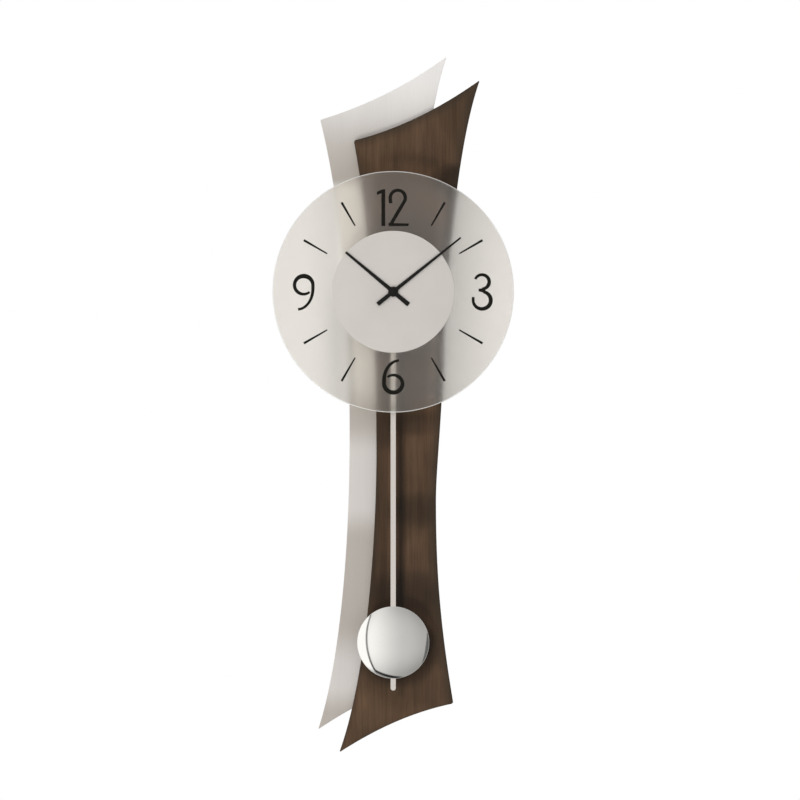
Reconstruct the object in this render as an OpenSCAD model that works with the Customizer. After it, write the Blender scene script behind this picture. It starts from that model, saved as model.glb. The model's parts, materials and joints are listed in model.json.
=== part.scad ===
// Wall clock with a pendulum: a curved walnut panel over a like-shaped aluminium one,
// a round satin glass dial on standoffs, and a quartz movement that drives the hands
// and swings the pendulum. Front is -Y, up is +Z, and the wall is the plane y = 0.
// The origin is the centre of the hanging keyhole. Outline points are given about the
// dial's centre as [across, up].

/* [Panels] */
// Height of the wood panel, from tip to tip
panel_h = 672.5; // [660:0.5:690]
// Width of the wood panel at its widest
panel_w = 140.7; // [138:0.1:146]
// Thickness of the wood panel
wood_t = 12; // [11:0.5:15]
// Thickness of the aluminium panel
alu_t = 2; // [1.8:0.1:3]
// Radius of a wood screw's shank
wood_screw_r = 1.45; // [1.2:0.05:1.7]
// Radius of a countersunk head
screw_head_r = 3.1; // [2.8:0.1:3.6]
// Length of a panel screw
panel_screw_len = 10; // [8:0.5:11]

/* [Hanging] */
// How far the keyhole lies above the dial's centre
keyhole_rise = 85; // [75:1:95]
// Thickness of the hanger plate and of the wall buffers
hanger_t = 2; // [1.5:0.1:3]
// Width of the hanger plate
hanger_w = 46; // [42:1:54]
// Radius of the keyhole's round hole
keyhole_r = 4.5; // [4:0.1:5]
// Width of the keyhole's slot
keyhole_slot_w = 3.8; // [3.6:0.1:4.5]
// Travel of the wall screw up the slot
keyhole_slot_len = 7; // [5:0.5:9]
// Depth of the pocket for the wall screw's head in the wood
pocket_depth = 6; // [4:0.5:8]
// Radius of a wall buffer
buffer_r = 7; // [5:0.5:9]

/* [Dial] */
// Diameter of the glass dial
glass_d = 241; // [230:1:250]
// Thickness of the glass dial
glass_t = 4; // [3:0.5:6]
// Diameter of the centre disc
disc_d = 121.8; // [119:0.2:126]
// Thickness of the centre disc
disc_t = 1; // [0.8:0.1:1.5]
// Diameter of the hidden carrier plate
carrier_d = 114; // [112:1:117]
// Thickness of the carrier plate
carrier_t = 3; // [2.5:0.5:4]
// Length of a standoff, from the wood to the carrier
standoff_len = 35; // [34:0.5:42]
// Radius of a standoff
standoff_r = 3.5; // [3:0.1:4]
// Radius of the screw that holds a standoff
standoff_screw_r = 1.5; // [1.3:0.05:1.8]
// Thickness of the printed marks
mark_t = 0.3; // [0.2:0.05:0.5]
// Inner radius of the hour bars
bar_r0 = 76; // [72:0.5:80]
// Outer radius of the hour bars
bar_r1 = 103; // [98:0.5:108]
// Width of an hour bar at its outer end
bar_w = 2.4; // [2:0.1:3.6]
// Stroke width of the numerals
stroke_w = 3.1; // [2.4:0.1:3.6]

/* [Hands] */
// Reach of the minute hand
minute_len = 86.4; // [80:0.2:92]
// Reach of the hour hand
hour_len = 61.8; // [56:0.2:68]
// Length of each hand's tail
tail_len = 20; // [16:0.5:26]
// Thickness of a hand
hand_t = 0.6; // [0.4:0.1:1]
// Radius of a hand's boss
hand_boss_r = 5; // [4.5:0.1:6]
// Minute hand's angle, clockwise from twelve
minute_angle = 51.3; // [0:0.1:360]
// Hour hand's angle, clockwise from twelve
hour_angle = 309.8; // [0:0.1:360]
// Gap between the disc, the hour hand and the minute hand
hand_gap = 1.2; // [1:0.1:2]

/* [Movement] */
// Width of the movement's case
case_w = 57; // [57:0.5:60]
// Height of the case above the hands' axis
case_top = 30; // [30:0.5:33]
// Height of the case below the hands' axis
case_bottom = 48; // [48:0.5:50]
// Depth of the case
case_d = 20; // [20:0.5:22]
// Wall of the case
case_wall = 1.5; // [1.2:0.1:1.8]
// Thickness of the rubber gasket
gasket_t = 1; // [0.8:0.1:1.5]
// Outer radius of the threaded bush
bush_r = 4; // [3.6:0.1:4.5]
// Outer radius of the hour pipe
pipe_r = 2.5; // [2.3:0.1:2.8]
// Radius of the minute arbor inside the hour pipe
arbor_r = 1.6; // [1.4:0.1:1.9]
// Thickness of the motion work's gears
gear_t = 1.5; // [1.2:0.1:1.6]
// Thickness of the going train's wheels
wheel_t = 1; // [0.8:0.1:1.1]
// Radius of the setting knob's head
knob_r = 8; // [7:0.5:9]
// Thickness of the setting knob's head
knob_t = 8; // [6:0.5:10]
// Diameter of the battery
battery_d = 14.5; // [13.5:0.1:14.5]
// Length of the battery with its terminal
battery_len = 50.4; // [49.2:0.1:50.5]

/* [Pendulum] */
// How far the pendulum's pivot lies below the hands' axis
pivot_drop = 16; // [15.5:0.1:17]
// Radius of the pivot pin
pivot_r = 1; // [0.8:0.05:1.2]
// Width of the pendulum rod
rod_w = 5.2; // [4.6:0.1:6]
// Thickness of the pendulum rod
rod_t = 1.6; // [1.4:0.1:2]
// Lower end of the rod below the hands' axis
rod_end = 398.2; // [394:0.2:420]
// Height of the bob's centre below the hands' axis
bob_drop = 350.2; // [345:0.2:358]
// Radius of the bob
bob_r = 36; // [32:0.2:40]
// Depth of the bob's front dome
bob_depth = 10; // [8:0.5:14]
// Wall of the bob's shells
bob_wall = 0.8; // [0.6:0.1:1]

/* [Hidden] */
$fn = 96;
fit = 0.05;      // running clearance on a radius
slack = 0.1;     // clearance of a piece in its pocket
over = 0.5;      // how far a cut runs past the face that it opens
dial_z = -keyhole_rise;

// Planes from the wall forwards
y_alu_back = -hanger_t;
y_wood_back = y_alu_back - alu_t;
y_wood_front = y_wood_back - wood_t;
y_carrier_back = y_wood_front - standoff_len;
y_glass_back = y_carrier_back - carrier_t;
y_glass_front = y_glass_back - glass_t;
y_disc_front = y_glass_front - disc_t;
y_hour_hand = y_disc_front - hand_gap;
y_minute_hand = y_hour_hand - hand_t - hand_gap;

// Planes inside the movement, from its front wall backwards
y_case_front = y_carrier_back + gasket_t;
y_inside = y_case_front + case_wall;
y_case_back = y_case_front + case_d;
y_cover = y_case_back - case_wall;
layer_gap = 1.5;
plate_t = 0.9;
plate_gap = 0.3;
y_hour_gear = y_inside + 0.5;
y_motion_gear = y_hour_gear + gear_t + 1;
y_plate = y_motion_gear + gear_t + plate_gap;
y_centre = y_plate + plate_t + plate_gap;
y_third = y_centre + wheel_t + layer_gap;
y_fourth = y_third + wheel_t + layer_gap;
y_inter = y_fourth + wheel_t + layer_gap;
pivot_boss = 1.7;
pivot_boss_r = 2.5;
y_pivot_end = y_cover - pivot_boss / 2;

// Outlines: each side is one or more cubic curves, as [start, control, control, end]
blank_h = 672.5;
blank_w = 140.7;
wood_sides = [
    [[-39.4, 151.5], [6, 163], [46.5, 183.5], [86.7, 212]],
    [[86.7, 212], [61, 140], [51.9, -15], [50.5, -60]],
    [[50.5, -60], [48.9, -125], [42.8, -178], [42.8, -208]],
    [[42.8, -208], [42.8, -282], [47.5, -336], [60.2, -411.5]],
    [[60.2, -411.5], [18.8, -420], [-17.6, -437], [-54, -460.5]],
    [[-54, -460.5], [-25.4, -382], [-16.8, -240], [-16.8, -160]],
    [[-16.8, -160], [-16.8, -60], [-21.2, 52], [-39.4, 151.5]]
];
alu_sides = [
    [[-73, 172.3], [-27.3, 186], [14.2, 206.6], [53.5, 235.5]],
    [[53.5, 235.5], [28, 163], [23, 10], [21.2, -37]],
    [[21.2, -37], [20.8, -102], [16.5, -156], [16.5, -186]],
    [[16.5, -186], [18, -260], [25, -313], [38, -388.5]],
    [[38, -388.5], [-2, -395], [-37, -412], [-75, -437.5]],
    [[-75, -437.5], [-49.2, -357], [-43.6, -226], [-43.6, -145]],
    [[-43.6, -145], [-43.6, -45.6], [-48.4, 73.5], [-73, 172.3]]
];
side_steps = 10;

// Ring of glass round the centre disc, as it is and as the numerals were drawn for it
blank_glass_d = 241;
blank_disc_d = 121.8;
ring_mid = (glass_d + disc_d) / 4;
blank_ring_mid = (blank_glass_d + blank_disc_d) / 4;
ring_scale = (glass_d - disc_d) / (blank_glass_d - blank_disc_d);

// Screw places, about the dial's centre
panel_screw_at = [[5, 140], [2, -130], [0, -260], [-5, -380]];
standoff_at = [[-12, 44], [28, 42], [42, -10], [38, -38]];
buffer_at = [[-42, -395], [12, -372]];
hanger_screw_x = hanger_w / 2 - 6;
hanger_low = keyhole_r + 4.5;
hanger_high = keyhole_slot_len + 8;
head_way_r = keyhole_r + 1.5;
way_corner_r = 1;
standoff_grip = 10;
spigot_r = 2;

// What clamps the movement to the dial
bush_flange_r = bush_r + 2;
gasket_r = 3 * bush_r;
washer_r = bush_r + 2.8;
washer_t = 0.6;
nut_r = bush_r + 2.3;
nut_t = 2.4;
glass_hole_r = bush_r + 5;

// Ways through the panels to the battery and the knob
window_x = [8, 30];
window_z = [-50, 10];
knob_way_r = 11;

// Places of the gears: distances are half the sum of the pitch diameters
motion_m = 0.4;
cannon_teeth = 14;
motion_teeth = 42;
motion_pinion_teeth = 12;
hour_teeth = 48;
motion_dist = (cannon_teeth + motion_teeth) / 2 * motion_m;
hour_m = 2 * motion_dist / (motion_pinion_teeth + hour_teeth);
train_m = 0.3;
centre_m = 0.32;
rotor_m = 0.25;
pinion_teeth = 8;
centre_teeth = 60;
third_teeth = 64;
fourth_teeth = 40;
inter_teeth = 48;
third_dist = (centre_teeth + pinion_teeth) / 2 * centre_m;
fourth_dist = (third_teeth + pinion_teeth) / 2 * train_m;
inter_dist = (fourth_teeth + pinion_teeth) / 2 * train_m;
rotor_dist = (inter_teeth + pinion_teeth) / 2 * rotor_m;
motion_way = -32;
knob_way = 20;
third_way = -80;
fourth_way = -32;
inter_way = 16;
rotor_way = 45;
hub_at = [0, 0];
motion_at = place(hub_at, motion_dist, motion_way);
knob_at = place(motion_at, motion_dist, knob_way);
third_at = place(hub_at, third_dist, third_way);
fourth_at = place(third_at, fourth_dist, fourth_way);
inter_at = place(fourth_at, inter_dist, inter_way);
rotor_at = place(inter_at, rotor_dist, rotor_way);

// How far each gear is turned at rest, so that teeth meet gaps
cannon_turn = mesh_turn(motion_way + 180, motion_teeth, cannon_teeth, motion_way + 180);
knob_turn = mesh_turn(motion_way + 180, motion_teeth, cannon_teeth, knob_way);
motion_pinion_turn = mesh_turn(motion_way, hour_teeth, motion_pinion_teeth, motion_way);
third_pinion_turn = mesh_turn(third_way, centre_teeth, pinion_teeth, third_way);
fourth_pinion_turn = mesh_turn(fourth_way, third_teeth, pinion_teeth, fourth_way);
inter_pinion_turn = mesh_turn(inter_way, fourth_teeth, pinion_teeth, inter_way);
rotor_pinion_turn = mesh_turn(rotor_way, inter_teeth, pinion_teeth, rotor_way);

// Shafts, pivots and bosses
rear_r = 0.8;
wheel_arbor_r = 0.6;
pivot_pin_r = 0.4;
rotor_arbor_r = 0.4;
knob_shaft_r = 1.5;
knob_boss = 2;
knob_clear = 10;
wheel_hub_r = 1.6;
centre_hub_r = 2;
magnet_r = 3;
magnet_t = 2.5;

// Battery bay, at the rear right of the case
bay_wall = 1.2;
bay_x0 = case_w / 2 - case_wall - battery_d - 2 * slack - 0.6;
bay_x1 = case_w / 2 - case_wall;
bay_z0 = case_wall - case_bottom;
bay_z1 = bay_z0 + battery_len + 2.6;
battery_x = (bay_x0 + bay_x1) / 2;
battery_y = y_cover + 0.25 - battery_d / 2;
battery_z0 = bay_z0 + 1.5;
button_h = 1.5;
x_tab = [battery_x - 5, battery_x + 5];
button_r = 2.7;
contact_t = 0.3;
lead_w = 1;
lead_y = y_inter + wheel_t + 0.6;
lead_x = 4;

// Case bosses and pillars
case_screw_r = 0.9;
case_screw_len = 6;
case_screw_head_r = 1.9;
case_screw_head_t = 1.1;
case_boss_r = 2.2;
case_corner_r = 3;
inner_left = case_wall - case_w / 2;
inner_top = case_top - case_wall;
case_screw_at = [
    [inner_left + 2, bay_z0 + 2],
    [inner_left + 2, inner_top - 2],
    [bay_x1 - 2, bay_z1 + 5]
];
pillar_r = 1.5;
pillar_at = [[-21.5, 20.5], [-21.5, -10.5], [1.2, -11.2], [1.4, 25]];
plate_box = [[-24, -13], [3.2, 27]];

// Step motor
stator_t = 0.8;
stator_y = y_centre + 1.3;
stator_hole_r = magnet_r + 0.5;
stator_ring_r = magnet_r + 2.2;
limb_w = 3;
coil_x = [7, 22.5];
coil_z = 20.5;
coil_r = 3.3;
flange_t = 0.6;
arm_top = [rotor_at[1] + stator_hole_r, rotor_at[1] + stator_ring_r];
arm_low = [rotor_at[1] - stator_ring_r - 3.6, rotor_at[1] - stator_ring_r - 0.6];
stator_post_r = 1.3;
stator_post_at = [[coil_x[0] - 2, arm_low[0] + limb_w / 2], [coil_x[1] + 2.2, coil_z + 4.2]];

// Circuit board and its pieces
board_t = 1;
board_y = y_fourth + wheel_t + 2.1;
board_box = [[inner_left + 0.5, bay_z0 + 1], [0, -21]];
board_post_at = [[-22.5, -23.5], [-3, -43]];
board_post_r = 1.2;
drive_coil_at = [-6, -32];
drive_coil_r = 5;
crystal_at = [-21, -38];
crystal_r = 1;
crystal_len = 6;
chip_at = [-18, -29];
chip_r = 3;

// Pendulum
hanger_y = y_centre + 1;
lever_t = 3;
lever_w = 6;
lever_boss_r = 3;
lever_end = case_bottom + 9;
swing = 7;
slot_half = (case_bottom - pivot_drop) * tan(swing) + lever_w / 2 + 1.8;
peg_r = 1.5;
peg_drop = case_bottom + 6;
rod_top = case_bottom + 2.4;
drive_magnet_r = 3.5;
drive_magnet_t = 2;
rod_y = hanger_y - rod_t;
bob_ball_r = (bob_r * bob_r + bob_depth * bob_depth) / (2 * bob_depth);
bob_rim = rod_t + 0.8;
back_depth = 4.4;
back_ball_r = (bob_r * bob_r + back_depth * back_depth) / (2 * back_depth);
bob_back_y = rod_y + bob_rim + back_depth;
clamp_w = 16;
clamp_h = 10;
clamp_front = 1.4;
clamp_corner = norm([clamp_w, clamp_h]) / 2;
clamp_back_y = bob_back_y - back_ball_r + sqrt(pow(back_ball_r - bob_wall, 2) - pow(clamp_corner, 2)) - slack;
clamp_screw_r = 1.5;

// Point at a distance and a clockwise bearing from another
function place(from, dist, way) = [from[0] + dist * sin(way), from[1] + dist * cos(way)];

// Turn of a gear with n2 teeth that meshes with one of n1 teeth turned by t1, seen at bearing b
function mesh_turn(t1, n1, n2, b) = b + 180 + 180 / n2 - (t1 - b) * n1 / n2;

function bezier(s, t) =
    s[0] * pow(1 - t, 3) + s[1] * 3 * pow(1 - t, 2) * t
    + s[2] * 3 * (1 - t) * t * t + s[3] * pow(t, 3);

function outline(sides) = [
    for (s = sides) for (i = [0:side_steps - 1])
        let (p = bezier(s, i / side_steps)) [p[0] * panel_w / blank_w, p[1] * panel_h / blank_h]
];

// Points along an ellipse, with angles counter-clockwise from the right
function arc(c, rx, rz, a0, a1, n) = [
    for (i = [0:n]) let (a = a0 + (a1 - a0) * i / n) [c[0] + rx * cos(a), c[1] + rz * sin(a)]
];

function unit(v) = v / norm(v);
function side_of(path, i) =
    let (a = path[max(i - 1, 0)], b = path[min(i + 1, len(path) - 1)], d = unit(b - a)) [-d[1], d[0]];

// Value at a share t of a list, straight between its entries
function along(list, t) =
    let (s = t * (len(list) - 1), i = min(floor(s), len(list) - 2))
    list[i] + (list[i + 1] - list[i]) * (s - i);

// Pen stroke along a path, its widths given from start to end as shares of the stroke width
module stroke(path, widths) {
    last = len(path) - 1;
    half = [for (i = [0:last]) side_of(path, i) * along(widths, i / last) * stroke_w / 2];
    left = [for (i = [0:last]) path[i] + half[i]];
    right = [for (i = [last:-1:0]) path[i] - half[i]];
    polygon(concat(left, right));
}

// Places children at a point given about the dial's centre
module at(p) {
    translate([p[0], 0, dial_z + p[1]]) children();
}

// Plate of a flat outline, from a front plane back over a thickness
module slab(y_front, t) {
    translate([0, y_front + t, 0]) rotate([90, 0, 0]) linear_extrude(t) children();
}

// Round bar along Y
module bar(p, r, y_front, t, r_back = undef) {
    at(p) translate([0, y_front + t, 0]) rotate([90, 0, 0])
        cylinder(r1 = is_undef(r_back) ? r : r_back, r2 = r, h = t);
}

module block(x, y, z) {
    translate([x[0], y[0], dial_z + z[0]]) cube([x[1] - x[0], y[1] - y[0], z[1] - z[0]]);
}

module rounded(x, z, r) {
    translate([x[0] + r, z[0]]) square([x[1] - x[0] - 2 * r, z[1] - z[0]]);
    translate([x[0], z[0] + r]) square([x[1] - x[0], z[1] - z[0] - 2 * r]);
    for (cx = [x[0] + r, x[1] - r]) for (cz = [z[0] + r, z[1] - r])
        translate([cx, cz]) circle(r);
}

// Gear outline with straight-sided teeth, one of them at the bearing "turn"
module gear_2d(teeth, m, turn) {
    r = teeth * m / 2;
    rt = r + 0.75 * m;
    rr = r - 1.15 * m;
    root = 0.31 * 360 / teeth;
    tip = 0.1 * 360 / teeth;
    polygon([
        for (i = [0:teeth - 1]) for (e = [[rr, -root], [rt, -tip], [rt, tip], [rr, root]])
            place([0, 0], e[0], turn + i * 360 / teeth + e[1])
    ]);
}

module gear(p, teeth, m, turn, y_front, t) {
    at(p) slab(y_front, t) gear_2d(teeth, m, turn);
}

// Wheel with windows between its spokes
module spoked(p, teeth, m, turn, y_front, t, hub) {
    rim = teeth * m / 2 - 2.2 * m;
    difference() {
        gear(p, teeth, m, turn, y_front, t);
        if (rim - 1 > hub + 1) at(p) slab(y_front - over, t + 2 * over) difference() {
            circle(rim - 0.6);
            circle(hub + 0.6);
            for (a = [0, 60, 120]) rotate(a) square([2 * rim, 1.2], center = true);
        }
    }
}

// Countersunk screw whose head lies flush with a rear plane
module csk_screw(p, r, y_back, length) {
    head_h = screw_head_r - r;
    difference() {
        union() {
            bar(p, r, y_back - length, length - head_h);
            bar(p, r, y_back - head_h, head_h, screw_head_r);
        }
        at(p) for (a = [45, 135]) translate([0, y_back, 0]) rotate([0, a, 0])
            cube([0.8, 1.4, 3.4], center = true);
    }
}

// Hole for that screw
module csk_hole(p, r, y_back, length) {
    head_h = screw_head_r - r;
    bar(p, r + slack, y_back - length, length + over);
    bar(p, r + slack, y_back - head_h, head_h, screw_head_r + slack);
}

// Way for the wall screw's head behind the keyhole
module head_way(y_front, t) {
    slab(y_front, t)
        rounded([-head_way_r, head_way_r], [-head_way_r, keyhole_slot_len + head_way_r], way_corner_r);
}

module wood_panel() {
    color([0.33, 0.25, 0.2]) difference() {
        at(hub_at) slab(y_wood_front, wood_t) polygon(outline(wood_sides));
        block(window_x, [y_wood_front - over, y_wood_back + over], window_z);
        bar(knob_at, knob_way_r, y_wood_front - over, wood_t + 2 * over);
        for (p = standoff_at) csk_hole(p, standoff_screw_r, y_wood_back, wood_t + over);
        for (p = panel_screw_at)
            bar(p, wood_screw_r + slack, y_alu_back - panel_screw_len - 0.5, panel_screw_len);
        for (s = [-1, 1])
            translate([0, 0, keyhole_rise])
                bar([s * hanger_screw_x, 0], wood_screw_r + slack, -panel_screw_len - 0.5, panel_screw_len);
        head_way(y_wood_back - pocket_depth, pocket_depth + over);
    }
}

module aluminium_panel() {
    color([0.8, 0.78, 0.76]) difference() {
        at(hub_at) slab(y_wood_back, alu_t) polygon(outline(alu_sides));
        block([window_x[0], panel_w], [y_wood_back - over, y_alu_back + over], window_z);
        bar(knob_at, knob_way_r, y_wood_back - over, alu_t + 2 * over);
        for (p = panel_screw_at) csk_hole(p, wood_screw_r, y_alu_back, alu_t + over);
        for (s = [-1, 1])
            translate([0, 0, keyhole_rise])
                bar([s * hanger_screw_x, 0], wood_screw_r + slack, y_wood_back - over, alu_t + 2 * over);
        head_way(y_wood_back - over, alu_t + 2 * over);
    }
}

module panel_screws() {
    color([0.7, 0.7, 0.72]) for (p = panel_screw_at)
        csk_screw(p, wood_screw_r, y_alu_back, panel_screw_len);
}

module hanger_plate() {
    color([0.72, 0.73, 0.75]) difference() {
        slab(-hanger_t, hanger_t)
            rounded([-hanger_w / 2, hanger_w / 2], [-hanger_low, hanger_high], 3);
        slab(-hanger_t - over, hanger_t + 2 * over) union() {
            circle(keyhole_r);
            translate([-keyhole_slot_w / 2, 0]) square([keyhole_slot_w, keyhole_slot_len]);
            translate([0, keyhole_slot_len]) circle(keyhole_slot_w / 2);
        }
        for (s = [-1, 1])
            translate([0, 0, keyhole_rise])
                csk_hole([s * hanger_screw_x, 0], wood_screw_r, 0, hanger_t + over);
    }
}

module hanger_screws() {
    color([0.7, 0.7, 0.72]) translate([0, 0, keyhole_rise]) for (s = [-1, 1])
        csk_screw([s * hanger_screw_x, 0], wood_screw_r, 0, panel_screw_len);
}

module wall_buffers() {
    color([0.15, 0.15, 0.15]) for (p = buffer_at) bar(p, buffer_r, -hanger_t, hanger_t);
}

module dial_standoffs() {
    color([0.75, 0.76, 0.78]) for (p = standoff_at) difference() {
        union() {
            bar(p, standoff_r, y_carrier_back, standoff_len);
            bar(p, spigot_r, y_glass_back, carrier_t);
        }
        bar(p, standoff_screw_r + fit, y_wood_front - standoff_grip - 1, standoff_grip + 1 + over);
    }
}

module standoff_screws() {
    color([0.7, 0.7, 0.72]) for (p = standoff_at)
        csk_screw(p, standoff_screw_r, y_wood_back, wood_t + standoff_grip);
}

module dial_carrier() {
    color([0.6, 0.61, 0.63]) difference() {
        bar(hub_at, carrier_d / 2, y_glass_back, carrier_t);
        bar(hub_at, bush_r + slack, y_glass_back - over, carrier_t + 2 * over);
        for (p = standoff_at) bar(p, spigot_r, y_glass_back - over, carrier_t + 2 * over);
    }
}

module glass_dial() {
    edge = glass_t * 0.15;
    color([0.85, 0.86, 0.85, 0.6]) difference() {
        union() {
            bar(hub_at, glass_d / 2 - edge, y_glass_front, edge, glass_d / 2);
            bar(hub_at, glass_d / 2, y_glass_front + edge, glass_t - 2 * edge);
            bar(hub_at, glass_d / 2, y_glass_back - edge, edge, glass_d / 2 - edge);
        }
        bar(hub_at, glass_hole_r, y_glass_front - over, glass_t + 2 * over);
    }
}

module centre_disc() {
    color([0.8, 0.78, 0.76]) difference() {
        bar(hub_at, disc_d / 2, y_disc_front, disc_t);
        bar(hub_at, pipe_r + 0.5, y_disc_front - over, disc_t + 2 * over);
    }
}

module marks() {
    color([0.13, 0.12, 0.1]) at(hub_at) slab(y_glass_front - mark_t, mark_t) children();
}

// Numerals are drawn for the blank ring of glass round the centre disc. Each stays in the
// middle of the ring, the way given from the hub, and grows with the ring's width.
module numeral(way) {
    marks() translate(way * ring_mid) scale(ring_scale) translate(-way * blank_ring_mid) children();
}

module hour_markers() {
    inner_w = bar_w * 0.57;
    marks() for (h = [1, 2, 4, 5, 7, 8, 10, 11]) rotate(-30 * h)
        polygon([[-inner_w / 2, bar_r0], [inner_w / 2, bar_r0], [bar_w / 2, bar_r1], [-bar_w / 2, bar_r1]]);
}

module numeral_12() {
    base = 65.6;
    top = 102.4;
    one_x = [-8 - 1.2 * stroke_w, -8];
    numeral([0, 1]) {
        polygon([
            [one_x[0], base], [one_x[1], base], [one_x[1], top], [one_x[1] - 2.6, top],
            [-16.2, top - 2.6], [-16.2, top - 5.7], [one_x[0], top - 4.2]
        ]);
        loop = arc([4.6, 93.8], 7.5, 7.5, 180, -30, 24);
        stroke(concat([[-2.6, 88.4]], loop, [[-2.2, base + 2]]), [1.1, 1.05, 1, 1.13, 1.06]);
        polygon([
            [-4.7, base], [15, base], [15.8, base + stroke_w * 0.8], [-4.7, base + stroke_w * 0.95]
        ]);
    }
}

module numeral_3() {
    numeral([1, 0]) {
        stroke(arc([88.6, 9.9], 7.2, 7.1, 158, -88, 28), [0.84, 0.97, 1.12, 1.18, 0.95]);
        bowl = arc([88.6, -8.5], 8.8, 8.6, 82, -180, 34);
        stroke(concat(bowl, [[79.8, -5.2]]), [1, 1.3, 1.3, 1.1, 0.9]);
        polygon([[85.2, 0.3], [92, -1.2], [92, 4], [85.2, 3]]);
    }
}

// The six; the nine is the same figure turned half round, taller and with its own widths
module six_2d(widths) {
    sweep = arc([6.3, -88.6], 15.4, 20.1, 92, 180, 18);
    loop = arc([0.1, -91.8], 9.2, 8.7, 180, 490, 40);
    stroke(concat(sweep, loop), widths);
}

module numeral_6() {
    numeral([0, -1]) six_2d([0.77, 1, 1.3, 1.42, 1.28, 1.05, 0.71]);
}

module numeral_9() {
    numeral([-1, 0]) translate([-89.2, -88.8]) rotate(180) scale([1, 1.04])
        six_2d([0.8, 0.85, 1.1, 1.42, 1.12, 1.05, 0.71]);
}

// Tapered hand that points at a bearing
module hand(len, w_tail, w_tip, angle, y_front) {
    at(hub_at) rotate([0, angle, 0]) slab(y_front, hand_t) difference() {
        union() {
            polygon([[-w_tail / 2, -tail_len], [w_tail / 2, -tail_len], [w_tip / 2, len], [-w_tip / 2, len]]);
            circle(hand_boss_r);
        }
        children();
    }
}

module hour_hand() {
    color([0.06, 0.06, 0.06]) hand(hour_len, 4.6, 2.3, hour_angle, y_hour_hand - hand_t)
        circle(pipe_r);
}

module minute_hand() {
    color([0.06, 0.06, 0.06]) hand(minute_len, 4.3, 1.7, minute_angle, y_minute_hand - hand_t)
        circle(arbor_r);
}

module hand_cap_nut() {
    cap_r = arbor_r + 1;
    color([0.08, 0.08, 0.08]) difference() {
        union() {
            bar(hub_at, cap_r, y_minute_hand - hand_t - 1.4, 1.4);
            bar(hub_at, cap_r - 0.7, y_minute_hand - hand_t - 2, 0.6, cap_r);
        }
        bar(hub_at, arbor_r, y_minute_hand - hand_t - 1.1, 1.1 + over);
    }
}

module threaded_bush() {
    bush_end = glass_t + carrier_t - 0.4;
    color([0.8, 0.65, 0.3]) difference() {
        union() {
            bar(hub_at, bush_r, y_carrier_back - bush_end, bush_end + gasket_t);
            bar(hub_at, bush_flange_r, y_carrier_back, gasket_t);
            bar(hub_at, bush_r - fit, y_case_front, case_wall - 0.2);
        }
        bar(hub_at, pipe_r + fit, y_carrier_back - bush_end - over, bush_end + gasket_t + case_wall + 1);
    }
}

module rubber_gasket() {
    color([0.1, 0.1, 0.1]) difference() {
        bar(hub_at, gasket_r, y_carrier_back, gasket_t);
        bar(hub_at, bush_flange_r + slack, y_carrier_back - over, gasket_t + 2 * over);
    }
}

module dial_washer() {
    color([0.75, 0.75, 0.77]) difference() {
        bar(hub_at, washer_r, y_glass_back - washer_t, washer_t);
        bar(hub_at, bush_r + slack, y_glass_back - washer_t - over, washer_t + 2 * over);
    }
}

module hex_nut() {
    color([0.8, 0.65, 0.3]) difference() {
        at(hub_at) slab(y_glass_back - washer_t - nut_t, nut_t) circle(nut_r, $fn = 6);
        bar(hub_at, bush_r + fit, y_glass_back - washer_t - nut_t - over, nut_t + 2 * over);
    }
}

module case_2d(inset) {
    rounded([-case_w / 2 + inset, case_w / 2 - inset], [-case_bottom + inset, case_top - inset],
        case_corner_r - inset);
}

module movement_front_shell() {
    inside_d = y_cover - y_inside;
    color([0.12, 0.12, 0.13]) difference() {
        union() {
            difference() {
                at(hub_at) slab(y_case_front, case_d - case_wall) case_2d(0);
                at(hub_at) slab(y_inside, inside_d + over) case_2d(case_wall);
            }
            block([bay_x0 - bay_wall, bay_x0], [y_inside - slack, y_cover],
                [bay_z0 - slack, bay_z1 + bay_wall]);
            block([bay_x0 - bay_wall, bay_x1 + slack], [y_inside - slack, y_cover],
                [bay_z1, bay_z1 + bay_wall]);
            for (z = [0.25, 0.75]) let (zc = bay_z0 + z * (bay_z1 - bay_z0))
                block([bay_x0 - slack, bay_x1 + slack],
                    [y_inside - slack, battery_y - battery_d / 2 - fit], [zc - 1, zc + 1]);
            for (p = case_screw_at) bar(p, case_boss_r, y_inside - slack, inside_d + slack);
            for (p = pillar_at) {
                bar(p, pillar_r, y_inside - slack, y_plate - y_inside + slack);
                bar(p, pillar_r / 2, y_inside, y_plate - y_inside + plate_t);
            }
            for (p = stator_post_at) bar(p, stator_post_r, y_inside - slack, stator_y - y_inside + slack);
            bar([0, -pivot_drop], pivot_boss_r, y_inside - slack, hanger_y - y_inside - lever_t / 3);
            bar(motion_at, rear_r, y_inside - slack, y_motion_gear + gear_t - y_inside + slack);
            bar(knob_at, knob_boss, y_inside - slack, knob_boss + slack);
        }
        bar(hub_at, bush_r, y_case_front - over, case_wall + 2 * over);
        for (p = case_screw_at) bar(p, case_screw_r, y_cover - case_screw_len - 1, case_screw_len + 1 + over);
        bar([0, -pivot_drop], pivot_r, y_inside + 1, hanger_y - y_inside);
        bar(knob_at, rear_r + fit, y_inside + 0.3, knob_boss);
        block([-slot_half, slot_half], [hanger_y - 0.8, hanger_y + lever_t + 0.8],
            [-case_bottom - over, bay_z0 + over]);
        block([bay_x0 - bay_wall - over, bay_x0 + over], [lead_y - 0.2, y_cover + over],
            [bay_z0 - slack, bay_z0 + lead_w + 0.4]);
        block([bay_x0 - bay_wall - over, bay_x0 + over], [lead_y - 0.2, y_cover + over],
            [bay_z1 - lead_w - 0.5, bay_z1]);
    }
}

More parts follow.
